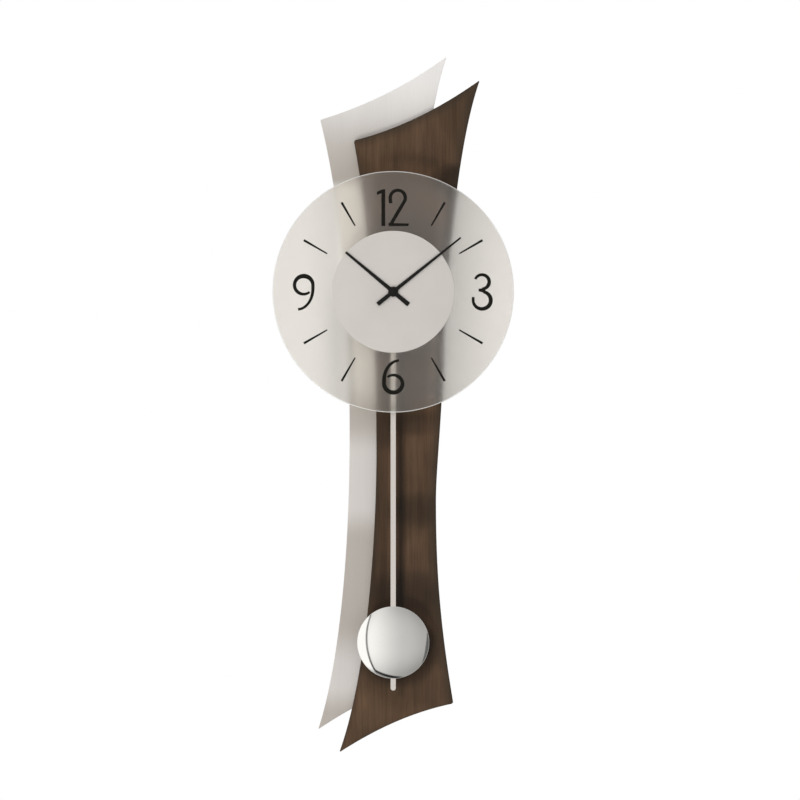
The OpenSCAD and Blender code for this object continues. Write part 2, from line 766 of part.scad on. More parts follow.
module movement_rear_cover() {
    pivots = [
        [hub_at, rear_r], [third_at, pivot_pin_r], [fourth_at, pivot_pin_r],
        [inter_at, pivot_pin_r], [rotor_at, pivot_pin_r]
    ];
    color([0.14, 0.14, 0.15]) difference() {
        union() {
            at(hub_at) slab(y_cover, case_wall) difference() {
                case_2d(0);
                translate([bay_x0 - bay_wall / 2, -case_bottom - over])
                    square([case_w, case_bottom + over + bay_z1 + bay_wall / 2]);
            }
            for (v = pivots) bar(v[0], v[1] + 1.2, y_cover - pivot_boss, pivot_boss + slack);
            bar([0, -pivot_drop], pivot_boss_r, y_cover - pivot_boss, pivot_boss + slack);
            for (p = board_post_at)
                bar(p, board_post_r, board_y + board_t, y_cover - board_y - board_t + slack);
        }
        for (v = pivots) bar(v[0], v[1] + fit, y_cover - pivot_boss - over, pivot_boss + over);
        bar([0, -pivot_drop], pivot_r, y_cover - pivot_boss - over, pivot_boss + over);
        bar(knob_at, knob_shaft_r + fit, y_cover - over, case_wall + 2 * over);
        for (p = case_screw_at) bar(p, case_screw_r + slack, y_cover - over, case_wall + 2 * over);
    }
}

module case_screws() {
    color([0.72, 0.72, 0.74]) for (p = case_screw_at) difference() {
        union() {
            bar(p, case_screw_r - fit, y_cover - case_screw_len, case_screw_len + case_wall);
            bar(p, case_screw_head_r, y_case_back, case_screw_head_t);
        }
        at(p) for (a = [0, 90]) translate([0, y_case_back + case_screw_head_t, 0]) rotate([0, a, 0])
            cube([0.5, 1, 2.4], center = true);
    }
}

module train_plate() {
    color([0.8, 0.66, 0.32]) difference() {
        at(hub_at) slab(y_plate, plate_t) difference() {
            rounded([plate_box[0][0], plate_box[1][0]], [plate_box[0][1], plate_box[1][1]], 2);
            for (p = case_screw_at) translate(p) circle(case_boss_r + 0.6);
            for (p = stator_post_at) translate(p) circle(stator_post_r + 0.7);
        }
        for (v = [[hub_at, rear_r], [third_at, pivot_pin_r], [fourth_at, pivot_pin_r],
                [inter_at, pivot_pin_r], [rotor_at, pivot_pin_r], [knob_at, knob_shaft_r]])
            bar(v[0], v[1] + fit, y_plate - over, plate_t + 2 * over);
        for (p = pillar_at) bar(p, pillar_r / 2 + fit, y_plate - over, plate_t + 2 * over);
    }
}

module minute_arbor() {
    y_tip = y_minute_hand - hand_t - 1;
    color([0.8, 0.66, 0.32]) {
        bar(hub_at, arbor_r, y_tip, y_motion_gear - y_tip);
        bar(hub_at, arbor_r + 0.5, y_motion_gear - 0.8, 0.8);
        gear(hub_at, cannon_teeth, motion_m, cannon_turn, y_motion_gear, gear_t);
        bar(hub_at, rear_r, y_motion_gear + gear_t, y_pivot_end - y_motion_gear - gear_t);
    }
}

module hour_wheel() {
    color([0.85, 0.84, 0.8]) difference() {
        union() {
            spoked(hub_at, hour_teeth, hour_m, motion_way, y_hour_gear, gear_t, pipe_r);
            bar(hub_at, pipe_r, y_hour_hand - hand_t - 0.3, y_hour_gear - y_hour_hand + hand_t + 0.3);
        }
        bar(hub_at, arbor_r + fit, y_hour_hand - hand_t - 1, y_hour_gear - y_hour_hand + gear_t + 3);
    }
}

module motion_wheel() {
    color([0.85, 0.84, 0.8]) difference() {
        union() {
            gear(motion_at, motion_pinion_teeth, hour_m, motion_pinion_turn, y_hour_gear,
                y_motion_gear - y_hour_gear);
            spoked(motion_at, motion_teeth, motion_m, motion_way + 180, y_motion_gear, gear_t, 2.4);
        }
        bar(motion_at, rear_r + fit, y_hour_gear - over, y_motion_gear - y_hour_gear + gear_t + 1);
    }
}

module setting_knob() {
    y_head = y_case_back + knob_clear;
    color([0.9, 0.9, 0.88]) {
        bar(knob_at, rear_r, y_inside + 0.6, y_motion_gear - y_inside - 0.6);
        gear(knob_at, cannon_teeth, motion_m, knob_turn, y_motion_gear, gear_t);
        bar(knob_at, knob_shaft_r, y_motion_gear + gear_t, y_head - y_motion_gear - gear_t);
        at(knob_at) slab(y_head, knob_t) difference() {
            circle(knob_r);
            for (a = [0:20:340]) rotate(a) translate([0, knob_r + 0.3]) circle(0.8);
        }
    }
}

module centre_wheel() {
    color([0.8, 0.66, 0.32]) difference() {
        union() {
            spoked(hub_at, centre_teeth, centre_m, third_way, y_centre, wheel_t, centre_hub_r);
            bar(hub_at, centre_hub_r, y_centre, wheel_t + plate_gap * 2);
        }
        bar(hub_at, rear_r + fit, y_centre - over, wheel_t + 2 * over + plate_gap * 2);
    }
}

// Wheel and pinion on one arbor, pivoted between the plate and the rear cover
module train_arbor(p, teeth, m, turn, y_wheel, pinion_m, pinion_turn) {
    spoked(p, teeth, m, turn, y_wheel, wheel_t, wheel_hub_r);
    gear(p, pinion_teeth, pinion_m, pinion_turn, y_wheel - layer_gap - wheel_t - slack,
        layer_gap + wheel_t + slack);
    bar(p, pivot_pin_r, y_plate + slack, y_pivot_end - y_plate - slack);
    bar(p, wheel_arbor_r, y_plate + plate_t + slack,
        y_cover - pivot_boss - slack - y_plate - plate_t - slack);
}

module third_wheel() {
    color([0.8, 0.66, 0.32])
        train_arbor(third_at, third_teeth, train_m, fourth_way, y_third, centre_m, third_pinion_turn);
}

module fourth_wheel() {
    color([0.88, 0.87, 0.83])
        train_arbor(fourth_at, fourth_teeth, train_m, inter_way, y_fourth, train_m, fourth_pinion_turn);
}

module intermediate_wheel() {
    color([0.88, 0.87, 0.83])
        train_arbor(inter_at, inter_teeth, rotor_m, rotor_way, y_inter, train_m, inter_pinion_turn);
}

module rotor() {
    color([0.25, 0.25, 0.27]) {
        bar(rotor_at, rotor_arbor_r, y_plate + slack, y_pivot_end - y_plate - slack);
        bar(rotor_at, magnet_r, stator_y + stator_t / 2 - magnet_t / 2, magnet_t);
        gear(rotor_at, pinion_teeth, rotor_m, rotor_pinion_turn, y_inter - 0.2, wheel_t + 0.4);
    }
}

module stator_2d() {
    difference() {
        union() {
            translate(rotor_at) circle(stator_ring_r);
            translate([rotor_at[0], arm_top[0]])
                square([coil_x[1] + 3.4 - rotor_at[0], arm_top[1] - arm_top[0]]);
            translate([coil_x[1] + 0.4, coil_z - limb_w / 2])
                square([limb_w, arm_top[1] - coil_z + limb_w / 2]);
            translate([rotor_at[0] - 2.5, arm_low[0]]) square([5, 5]);
            translate([rotor_at[0] - 2.5, arm_low[0]])
                square([coil_x[0] - 0.4 - rotor_at[0] + 2.5, limb_w]);
            translate([coil_x[0] - 0.4 - limb_w, arm_low[0]])
                square([limb_w, coil_z + limb_w / 2 - arm_low[0]]);
            translate([coil_x[0] - 1, coil_z - limb_w / 2]) square([coil_x[1] - coil_x[0] + 2, limb_w]);
        }
        translate(rotor_at) circle(stator_hole_r);
    }
}

module motor_stator() {
    color([0.6, 0.61, 0.63]) at(hub_at) slab(stator_y, stator_t) stator_2d();
}

module motor_coil() {
    core = limb_w / 2 + slack;
    yc = stator_y + stator_t / 2;
    color([0.72, 0.4, 0.2]) translate([0, yc, dial_z + coil_z]) difference() {
        union() {
            translate([coil_x[0], 0, 0]) rotate([0, 90, 0]) cylinder(r = coil_r, h = coil_x[1] - coil_x[0]);
            for (x = [coil_x[0], coil_x[1] - flange_t])
                translate([x, 0, 0]) rotate([0, 90, 0]) cylinder(r = coil_r + 0.3, h = flange_t);
        }
        translate([coil_x[0] - over, -stator_t / 2 - fit, -core])
            cube([coil_x[1] - coil_x[0] + 2 * over, stator_t + 2 * fit, 2 * core]);
    }
}

module circuit_board() {
    color([0.1, 0.35, 0.2]) at(hub_at) slab(board_y, board_t) difference() {
        translate(board_box[0]) square(board_box[1] - board_box[0]);
        for (p = case_screw_at) translate(p) circle(case_boss_r + 0.4);
    }
}

module quartz_crystal() {
    color([0.8, 0.8, 0.82]) at(crystal_at) translate([0, board_y - crystal_r, 0])
        rotate([0, 90, 0]) cylinder(r = crystal_r, h = crystal_len);
}

module control_chip() {
    color([0.05, 0.05, 0.05]) bar(chip_at, chip_r - 0.4, board_y - 1, 1, chip_r);
}

module contact_lead(x, z) {
    block(x, [lead_y, lead_y + contact_t], z);
}

module battery_contact_positive() {
    z_tab = bay_z1 - contact_t - fit;
    z_low = board_box[1][1] - 2;
    color([0.78, 0.78, 0.8]) {
        block(x_tab, [battery_y - 4, lead_y + contact_t], [z_tab, z_tab + contact_t]);
        at([battery_x, z_tab - 0.6]) translate([0, battery_y, 0]) cylinder(r = 2, h = 0.6 + slack);
        contact_lead([lead_x, x_tab[1]], [z_tab + contact_t - lead_w, z_tab + contact_t]);
        contact_lead([lead_x, lead_x + lead_w], [z_low, z_tab + contact_t]);
        contact_lead([-2, lead_x + lead_w], [z_low, z_low + lead_w]);
    }
}

module battery_contact_negative() {
    z_tab = bay_z0 + fit;
    color([0.78, 0.78, 0.8]) {
        block(x_tab, [battery_y - 5, lead_y + contact_t], [z_tab, z_tab + contact_t]);
        at([battery_x, z_tab + contact_t - slack]) translate([0, battery_y, 0])
            cylinder(r1 = 3.5, r2 = 2, h = battery_z0 - fit - z_tab - contact_t + slack);
        contact_lead([-2, x_tab[1]], [z_tab, z_tab + lead_w]);
    }
}

module battery() {
    color([0.2, 0.45, 0.35]) translate([battery_x, battery_y, dial_z + battery_z0]) {
        cylinder(r = battery_d / 2, h = battery_len - button_h);
        cylinder(r = button_r, h = battery_len);
    }
}

module pendulum_pivot_pin() {
    color([0.75, 0.75, 0.77]) bar([0, -pivot_drop], pivot_r, y_inside + 1, y_cover - y_inside - 1);
}

module pendulum_coil() {
    coil_t = board_y - hanger_y - lever_t - 0.6;
    color([0.72, 0.4, 0.2]) difference() {
        union() {
            bar(drive_coil_at, drive_coil_r - 0.5, board_y - coil_t, coil_t);
            for (y = [board_y - coil_t, board_y - flange_t]) bar(drive_coil_at, drive_coil_r, y, flange_t);
        }
        bar(drive_coil_at, 1.5, board_y - coil_t - over, coil_t + over);
    }
}

module pendulum_hanger() {
    color([0.88, 0.88, 0.86]) difference() {
        union() {
            at(hub_at) slab(hanger_y, lever_t) union() {
                translate([0, -pivot_drop]) circle(lever_boss_r);
                translate([-lever_w / 2, -lever_end]) square([lever_w, lever_end - pivot_drop]);
                translate(drive_coil_at) circle(drive_coil_r);
                translate([drive_coil_at[0], drive_coil_at[1] - drive_magnet_r])
                    square([-drive_coil_at[0], 2 * drive_magnet_r]);
            }
            bar([0, -peg_drop], peg_r, rod_y - 0.8, rod_t + 0.8 + slack);
        }
        bar([0, -pivot_drop], pivot_r + fit, hanger_y - over, lever_t + 2 * over);
        bar(drive_coil_at, drive_magnet_r, hanger_y + lever_t - drive_magnet_t, drive_magnet_t + over);
    }
}

module pendulum_magnet() {
    color([0.3, 0.3, 0.32])
        bar(drive_coil_at, drive_magnet_r - fit, hanger_y + lever_t - drive_magnet_t, drive_magnet_t);
}

module pendulum_rod() {
    color([0.8, 0.78, 0.75]) difference() {
        at(hub_at) slab(rod_y, rod_t) union() {
            translate([-rod_w / 2, rod_w / 2 - rod_end]) square([rod_w, rod_end - rod_top - rod_w / 2]);
            translate([0, rod_w / 2 - rod_end]) circle(rod_w / 2);
        }
        bar([0, -peg_drop], peg_r + fit, rod_y - over, rod_t + 2 * over);
    }
}

module bob_at(y) {
    translate([0, y, dial_z - bob_drop]) children();
}

module bob_front_shell() {
    ball_y = rod_y + bob_ball_r - bob_depth;
    color([0.85, 0.85, 0.86]) difference() {
        intersection() {
            bob_at(ball_y) sphere(bob_ball_r);
            bar([0, -bob_drop], bob_r + 1, rod_y - bob_depth - 1, bob_depth + 1);
        }
        bob_at(ball_y) sphere(bob_ball_r - bob_wall);
    }
}

module bob_back_shell() {
    ball_y = bob_back_y - back_ball_r;
    reach = bob_rim + back_depth + 1;
    color([0.7, 0.7, 0.72]) difference() {
        intersection() {
            bob_at(ball_y) sphere(back_ball_r);
            bar([0, -bob_drop], bob_r, rod_y, reach);
        }
        intersection() {
            bob_at(ball_y) sphere(back_ball_r - bob_wall);
            bar([0, -bob_drop], bob_r - bob_wall, rod_y - over, reach + over);
        }
        block([-rod_w / 2 - slack, rod_w / 2 + slack], [rod_y - over, hanger_y + slack],
            [-bob_drop - 2 * bob_r, -bob_drop + 2 * bob_r]);
        bar([0, -bob_drop], clamp_screw_r + slack, hanger_y, reach);
    }
}

module bob_clamp() {
    y_front = rod_y - clamp_front;
    color([0.5, 0.5, 0.52]) difference() {
        block([-clamp_w / 2, clamp_w / 2], [y_front, clamp_back_y],
            [-bob_drop - clamp_h / 2, -bob_drop + clamp_h / 2]);
        block([-rod_w / 2 - fit, rod_w / 2 + fit], [rod_y - fit, hanger_y + fit],
            [-bob_drop - clamp_h, -bob_drop + clamp_h]);
        bar([0, -bob_drop], clamp_screw_r, hanger_y, bob_back_y - hanger_y);
    }
}

module bob_screw() {
    head_r = 4.5;
    color([0.75, 0.75, 0.77]) {
        bar([0, -bob_drop], clamp_screw_r - fit, hanger_y, bob_back_y - hanger_y + slack);
        at([0, -bob_drop]) slab(bob_back_y, 2) difference() {
            circle(head_r);
            for (a = [0:30:330]) rotate(a) translate([0, head_r + 0.3]) circle(0.7);
        }
    }
}

wood_panel();
aluminium_panel();
panel_screws();
hanger_plate();
hanger_screws();
wall_buffers();
dial_standoffs();
standoff_screws();
dial_carrier();
glass_dial();
centre_disc();
hour_markers();
numeral_12();
numeral_3();
numeral_6();
numeral_9();
hour_hand();
minute_hand();
hand_cap_nut();
threaded_bush();
rubber_gasket();
dial_washer();
hex_nut();
movement_front_shell();
movement_rear_cover();
case_screws();
train_plate();
minute_arbor();
hour_wheel();
motion_wheel();
setting_knob();
centre_wheel();
third_wheel();
fourth_wheel();
intermediate_wheel();
rotor();
motor_stator();
motor_coil();
circuit_board();
quartz_crystal();
control_chip();
battery_contact_positive();
battery_contact_negative();
battery();
pendulum_pivot_pin();
pendulum_coil();
pendulum_hanger();
pendulum_magnet();
pendulum_rod();
bob_front_shell();
bob_back_shell();
bob_clamp();
bob_screw();
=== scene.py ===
"""Looks of the pendulum wall clock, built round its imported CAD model."""

import json
import math

import bmesh
import bpy
import numpy as np
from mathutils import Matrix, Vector

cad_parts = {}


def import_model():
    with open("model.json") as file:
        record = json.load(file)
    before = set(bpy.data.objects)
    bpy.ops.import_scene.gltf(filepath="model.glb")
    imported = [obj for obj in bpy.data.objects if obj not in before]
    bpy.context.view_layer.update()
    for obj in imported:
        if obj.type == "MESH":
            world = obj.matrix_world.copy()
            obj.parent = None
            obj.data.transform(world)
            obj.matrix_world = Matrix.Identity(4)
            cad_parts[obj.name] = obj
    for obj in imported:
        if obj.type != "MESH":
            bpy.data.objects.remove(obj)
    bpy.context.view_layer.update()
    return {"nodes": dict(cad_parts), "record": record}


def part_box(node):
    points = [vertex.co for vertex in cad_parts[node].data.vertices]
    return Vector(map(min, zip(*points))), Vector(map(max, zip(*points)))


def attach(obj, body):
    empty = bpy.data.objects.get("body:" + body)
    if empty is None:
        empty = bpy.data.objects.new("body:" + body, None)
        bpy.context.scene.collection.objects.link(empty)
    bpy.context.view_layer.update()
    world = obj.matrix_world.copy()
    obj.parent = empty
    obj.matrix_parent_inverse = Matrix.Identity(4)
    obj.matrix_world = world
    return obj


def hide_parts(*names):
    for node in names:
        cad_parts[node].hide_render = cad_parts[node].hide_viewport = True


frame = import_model()

MM = 0.001

record = frame["record"]
BODY = {node: body for body, nodes in record["behaviour"]["bodies"].items() for node in nodes}
SLOT = {part["node"]: part["material_slot"] for part in record["subparts"]}
JOINTS = {joint["name"]: joint for joint in record["behaviour"]["joints"]}


def limits(node):
    """Lowest and highest corner of a node, in mm."""
    low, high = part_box(node)
    return [round(c / MM, 2) for c in low], [round(c / MM, 2) for c in high]


def planes(node):
    """Front and back of a node, in mm."""
    low, high = limits(node)
    return low[1], high[1]


def middle(node, axis):
    low, high = limits(node)
    return (low[axis] + high[axis]) / 2


def radius(node):
    low, high = limits(node)
    return (high[0] - low[0]) / 2


DIAL_Z = middle("glass_dial", 2)  # height of the dial's centre above the keyhole
WOOD_FRONT, WOOD_BACK = planes("wood_panel")
ALU_FRONT, ALU_BACK = planes("aluminium_panel")
GLASS_FRONT, GLASS_BACK = planes("glass_dial")
GLASS_R = min(-limits("glass_dial")[0][0], limits("glass_dial")[1][0])
DISC_FRONT = planes("centre_disc")[0]
ROD_FRONT = planes("pendulum_rod")[0]


def srgb(red, green, blue):
    """Linear colour from values out of 255."""
    return tuple(
        c / 12.92 if c <= 0.04045 else ((c + 0.055) / 1.055) ** 2.4
        for c in (red / 255, green / 255, blue / 255)
    ) + (1.0,)


def shown(red, green, blue, share=0.85):
    """Base colour that the lamps, which bring out this share of it, show as these values."""
    return tuple(min(c / share, 1.0) for c in srgb(red, green, blue)[:3]) + (1.0,)


# Nodes of a material or of the world


class Nodes:
    """A tree whose nodes are added one at a time."""

    def __init__(self, tree):
        self.tree = tree

    def add(self, kind, settings=None, **inputs):
        """A node, with its settings and inputs. An input is a value or another node's output."""
        node = self.tree.nodes.new(kind)
        for key, value in (settings or {}).items():
            setattr(node, key, value)
        for key, value in inputs.items():
            numbered = key[0] == "i" and key[1:].isdigit()
            self.put(node.inputs[int(key[1:]) if numbered else key], value)
        return node

    def put(self, socket, value):
        if isinstance(value, bpy.types.NodeSocket):
            self.tree.links.new(value, socket)
        else:
            socket.default_value = value

    def math(self, operation, a, b=0.0, c=0.0, clamp=False):
        settings = {"operation": operation, "use_clamp": clamp}
        return self.add("ShaderNodeMath", settings, i0=a, i1=b, i2=c).outputs[0]

    def product(self, first, *others):
        for other in others:
            first = self.math("MULTIPLY", first, other)
        return first

    def band(self, value, low, high, out_low=0.0, out_high=1.0):
        """Value mapped from one range to another, with soft ends."""
        node = self.add("ShaderNodeMapRange", {"interpolation_type": "SMOOTHSTEP"}, i0=value)
        for socket, v in zip(node.inputs[1:5], (low, high, out_low, out_high)):
            socket.default_value = v
        return node.outputs[0]

    def strip(self, rise, fall):
        """One inside a strip and nothing outside it. Each end is a value, and where it starts and stops."""
        return self.product(self.band(*rise), self.band(*fall, 1.0, 0.0))

    def between(self, factor, a, b):
        """Level that goes from one to the other."""
        return self.add("ShaderNodeMix", {"data_type": "FLOAT"}, i0=factor, i2=a, i3=b).outputs[0]

    def grey(self, level):
        return self.add("ShaderNodeCombineColor", i0=level, i1=level, i2=level).outputs[0]


class Look(Nodes):
    """A material, with object coordinates to place its pattern by."""

    def __init__(self, name):
        self.material = bpy.data.materials.new(name)
        self.material.use_nodes = True
        super().__init__(self.material.node_tree)
        self.shader = self.tree.nodes["Principled BSDF"]
        self.output = self.tree.nodes["Material Output"]
        self.place = self.add("ShaderNodeTexCoord").outputs["Object"]
        self.x, _, self.z = self.add("ShaderNodeSeparateXYZ", i0=self.place).outputs

    def stretch(self, scale):
        """Object coordinates, scaled along each axis."""
        return self.add("ShaderNodeMapping", i0=self.place, i3=scale).outputs[0]

    def noise(self, scale, detail=3.0, rough=0.5, place=None):
        node = self.add("ShaderNodeTexNoise", Scale=scale, Detail=detail, Roughness=rough)
        self.put(node.inputs["Vector"], self.place if place is None else place)
        return node.outputs["Fac"]

    def mix(self, factor, a, b, blend="MIX"):
        node = self.add("ShaderNodeMix", {"data_type": "RGBA", "blend_type": blend})
        self.put(node.inputs[0], factor)
        self.put(node.inputs[6], a)
        self.put(node.inputs[7], b)
        return node.outputs[2]

    def times(self, colour, level):
        """Colour made darker or lighter by a level."""
        return self.mix(1.0, colour, self.grey(level), "MULTIPLY")

    def ramp(self, value, stops):
        node = self.add("ShaderNodeValToRGB", i0=value)
        ramp = node.color_ramp
        ramp.interpolation = "LINEAR"
        while len(ramp.elements) < len(stops):
            ramp.elements.new(0.5)
        for element, (position, colour) in zip(ramp.elements, stops):
            element.position = position
            element.color = colour
        return node.outputs[0]

    def bump(self, height, depth_mm, strength=1.0):
        node = self.add("ShaderNodeBump", Strength=strength, Distance=depth_mm * MM, Height=height)
        self.put(self.shader.inputs["Normal"], node.outputs[0])

    def set(self, **inputs):
        for key, value in inputs.items():
            self.put(self.shader.inputs[key.replace("_", " ")], value)


def varied(look, colour, spread, noise):
    """Colour that goes a little darker and lighter with a noise."""
    dark = tuple(c * (1 - spread) for c in colour[:3]) + (1.0,)
    light = tuple(min(c * (1 + spread), 1.0) for c in colour[:3]) + (1.0,)
    return look.mix(look.band(noise, 0.3, 0.7), dark, light)


# Walnut

# Tones from the dark lines of the grain to the light ones
WALNUT_TONES = [(0.36, (73, 53, 37)), (0.47, (82, 62, 46)), (0.55, (88, 67, 50)), (0.66, (94, 72, 55))]

# Figure in the walnut and painted shadows: middle across and up, half width and half height in mm, and depth
# of the dark, which is below zero where the wood is lighter. The dark patches right of the rod, round and
# above the bob and against the glass's rim are painted shadows of these parts; the others, and the lighter
# patches, are figure of the wood.
WALNUT_FIGURE_AND_SHADOWS = [
    (26, -303, 42, 22, 0.42), (-15, -318, 17, 130, 0.36), (22, -385, 44, 26, 0.30),
    (37, 55, 13, 44, 0.26), (40, -486, 30, 24, 0.22), (14, -392, 48, 36, 0.46),
    (60, 25, 28, 22, 0.72), (7, -316, 7, 124, 0.44), (-10, -222, 22, 26, 0.40),
    (32, -356, 26, 24, 0.20), (-16, 64, 24, 42, -0.30), (-24, -502, 26, 26, -0.25),
    (4, -446, 54, 40, 0.75), (22, -216, 36, 16, 0.35),
]


def walnut_figure_and_shadows(look):
    """Level of the wood under its figure and its painted shadows."""
    level = 1.0
    for x, z, half_width, half_height, depth in WALNUT_FIGURE_AND_SHADOWS:
        far_x = look.math("DIVIDE", look.math("SUBTRACT", look.x, x * MM), half_width * MM)
        far_z = look.math("DIVIDE", look.math("SUBTRACT", look.z, z * MM), half_height * MM)
        square = look.math("ADD", look.product(far_x, far_x), look.product(far_z, far_z))
        level = look.product(look.band(square, 0.0, 1.0, 1.0 - depth, 1.0), level)
    return level


def walnut():
    """Oiled walnut whose grain runs up the panel, darker towards its edges, with shadows of the rod, the bob
    and the glass painted into its figure.
    """
    look = Look("walnut")
    bend = look.noise(9.0, 2.0, place=look.stretch((1, 1, 0.4)))
    long_grain = look.stretch((1.0, 1.0, 0.035))
    sway = (6 * MM, 0.0, 0.0)
    flow = look.add(
        "ShaderNodeVectorMath", {"operation": "MULTIPLY_ADD"}, i0=bend, i1=sway, i2=long_grain
    ).outputs[0]
    lines = look.noise(430.0, 5.0, 0.62, flow)
    bands = look.noise(95.0, 3.0, 0.55, flow)
    clouds = look.noise(17.0, 2.0, 0.5, look.stretch((1.4, 1, 0.75)))
    pores = look.noise(2600.0, 1.0, 0.5, look.stretch((1.0, 1.0, 0.02)))
    grain = look.math("ADD", look.product(lines, 0.6), look.product(bands, 0.4))
    base = look.ramp(grain, [(position, shown(*tone)) for position, tone in WALNUT_TONES])
    # painted shadows of the rod, the bob and the glass, together with the wood's figure
    base = look.times(base, walnut_figure_and_shadows(look))
    shade = look.mix(look.band(clouds, 0.36, 0.60), srgb(214, 216, 212), srgb(255, 255, 255))
    base = look.mix(1.0, base, shade, "MULTIPLY")
    pore = look.band(pores, 0.60, 0.70)
    base = look.mix(look.product(pore, 0.30), base, shown(46, 36, 28))
    rim = look.add("ShaderNodeAttribute", {"attribute_name": "rim"}).outputs["Fac"]
    base = look.mix(look.product(rim, 0.8), base, shown(48, 40, 31))
    look.set(Base_Color=base, Roughness=look.band(lines, 0.3, 0.7, 0.42, 0.54), Specular_IOR_Level=0.22)
    look.bump(look.math("SUBTRACT", look.product(lines, 0.6), look.product(pore, 0.8)), 0.08, 0.4)
    return look.material


# Aluminium

# Heights in mm where a painted reflection on the aluminium's front starts, is full, starts to end and ends:
# pale bands of mirrored light, and a painted lighter stretch behind the glass
ALU_REFLECTED_BANDS = [(-508, -478, -458, -413), (-333, -298, -248, -213)]
ALU_LIT_BEHIND_GLASS = (-205, -170, 14, 29)
ALU_REFLECTED_TOP = (35, 132)  # start and full height of the pale top, a painted reflection
ALU_LAMP_SHARE = 0.80


def brushed_aluminium(name, front):
    """Long vertical brush marks, and on the front painted reflections: pale bands, a pale top and a painted
    lighter stretch behind the glass.
    """
    look = Look(name)
    hairs = look.noise(3200.0, 2.0, 0.5, look.stretch((1.0, 1.0, 0.006)))
    lanes = look.noise(60.0, 2.0, 0.5, look.stretch((1.0, 1.0, 0.03)))

    def zone(start, full, ending, end):
        return look.strip((look.z, start * MM, full * MM), (look.z, ending * MM, end * MM))

    def tone(*values):
        return shown(*values, ALU_LAMP_SHARE)

    base = tone(196, 191, 185)
    if front:
        # painted reflections: pale bands of mirrored light over a darker tone
        painted_reflection_bands = look.math("MAXIMUM", *[zone(*heights) for heights in ALU_REFLECTED_BANDS])
        base = look.mix(painted_reflection_bands, tone(181, 174, 166), tone(208, 203, 198))
        # painted light: a paler stretch where the aluminium lies behind the glass
        base = look.mix(zone(*ALU_LIT_BEHIND_GLASS), base, tone(237, 229, 224))
        # painted reflection: a pale top
        top = look.band(look.z, ALU_REFLECTED_TOP[0] * MM, ALU_REFLECTED_TOP[1] * MM)
        base = look.mix(top, base, tone(228, 225, 222))
    brushed = look.product(
        look.band(hairs, 0.25, 0.75, 0.965, 1.025), look.band(lanes, 0.3, 0.7, 0.985, 1.015)
    )
    look.set(
        Base_Color=look.times(base, brushed), Metallic=0.45,
        Roughness=look.band(hairs, 0.3, 0.7, 0.36, 0.46), Anisotropic=0.45,
    )
    look.bump(hairs, 0.012, 0.35)
    return look.material


# Glass

RIM_STRIP = (14, 6)  # distances inside the glass's edge, in mm, where its strip starts and is full
RIM_CLEARS = (-22, 0)  # across, in mm: the strip is weak left of the first and full right of the second
WEAK_RIM = 0.2
WOOD_LEAN = 0.06  # how far the walnut's right edge leans behind the glass
ALU_LEAN = 0.03  # how far the aluminium's left edge leans there, the other way
HUB_BLEND = 30  # half height in mm over which the glass's upper and lower painted strips change over


def let_light_in(look, tint, rim_tint):
    """Lets light reach what lies behind the glass, where solid glass would cast a black shadow.

    A strip along the rim, which bends the light aside, lets less of it through.
    """
    rays = look.add("ShaderNodeLightPath").outputs
    mirrored = look.math("SUBTRACT", rays["Is Glossy Ray"], rays["Is Transmission Ray"], clamp=True)
    bounced = look.math("MAXIMUM", rays["Is Diffuse Ray"], mirrored)
    passes = look.math("MAXIMUM", rays["Is Shadow Ray"], bounced)
    flat = look.stretch((1.0, 0.0, 1.0))
    hub = (0.0, 0.0, DIAL_Z * MM)
    away = look.add("ShaderNodeVectorMath", {"operation": "DISTANCE"}, i0=flat, i1=hub).outputs["Value"]
    near_rim = look.band(away, *[(GLASS_R - inside) * MM for inside in RIM_STRIP])
    near_rim = look.product(near_rim, look.band(look.x, *[x * MM for x in RIM_CLEARS], WEAK_RIM, 1.0))
    clear = look.add("ShaderNodeBsdfTransparent", Color=look.mix(near_rim, tint, rim_tint)).outputs[0]
    mix = look.add("ShaderNodeMixShader", i0=passes, i1=look.shader.outputs[0], i2=clear)
    look.tree.links.new(mix.outputs[0], look.output.inputs["Surface"])


def glass_painted_shade_and_light(look):
    """Level of the glass under shade and light painted into it, in strips whose places are in mm along the
    edges behind it.
    """
    height = look.math("SUBTRACT", look.z, DIAL_Z * MM)
    wood = look.math("SUBTRACT", look.x, look.product(look.z, WOOD_LEAN))
    alu = look.math("ADD", look.x, look.product(height, ALU_LEAN))
    below = look.band(height, -HUB_BLEND * MM, HUB_BLEND * MM, 1.0, 0.0)
    above = look.math("SUBTRACT", 1.0, below)

    def painted_strip(level, rise, fall, share=1.0):
        """Level that holds inside a strip of the glass, and is 1 outside it."""
        ends = [(edge, start * MM, stop * MM) for edge, start, stop in (rise, fall)]
        return look.math("MULTIPLY_ADD", look.product(look.strip(*ends), share), level - 1.0, 1.0)

    # painted shade right of the walnut, left of the aluminium and over the walnut, and a painted lighter
    # strip over the aluminium above the hub
    return look.product(
        painted_strip(0.51, (wood, 46, 58), (wood, 58, 130)),
        painted_strip(0.84, (alu, -95, -60), (alu, -60, -50)),
        painted_strip(1.20, (alu, -56, -46), (alu, -26, -12), above),
        painted_strip(0.68, (alu, -78, -50), (alu, -46, -36), below),
        painted_strip(0.83, (alu, -20, -10), (wood, 40, 52)),
    )


def glass_clear():
    """Polished front of the dial's glass, with a faint milky haze, and shade and light painted into it beside
    the panels behind.
    """
    look = Look("glass_clear")
    haze = look.noise(600.0, 3.0, 0.6)
    look.set(
        Base_Color=look.times(varied(look, srgb(226, 220, 211), 0.015, haze), glass_painted_shade_and_light(look)),
        Roughness=look.band(haze, 0.3, 0.7, 0.03, 0.07), IOR=1.5, Transmission_Weight=0.93,
    )
    look.bump(haze, 0.004, 0.2)
    let_light_in(look, srgb(252, 251, 250), srgb(171, 170, 168))
    return look.material


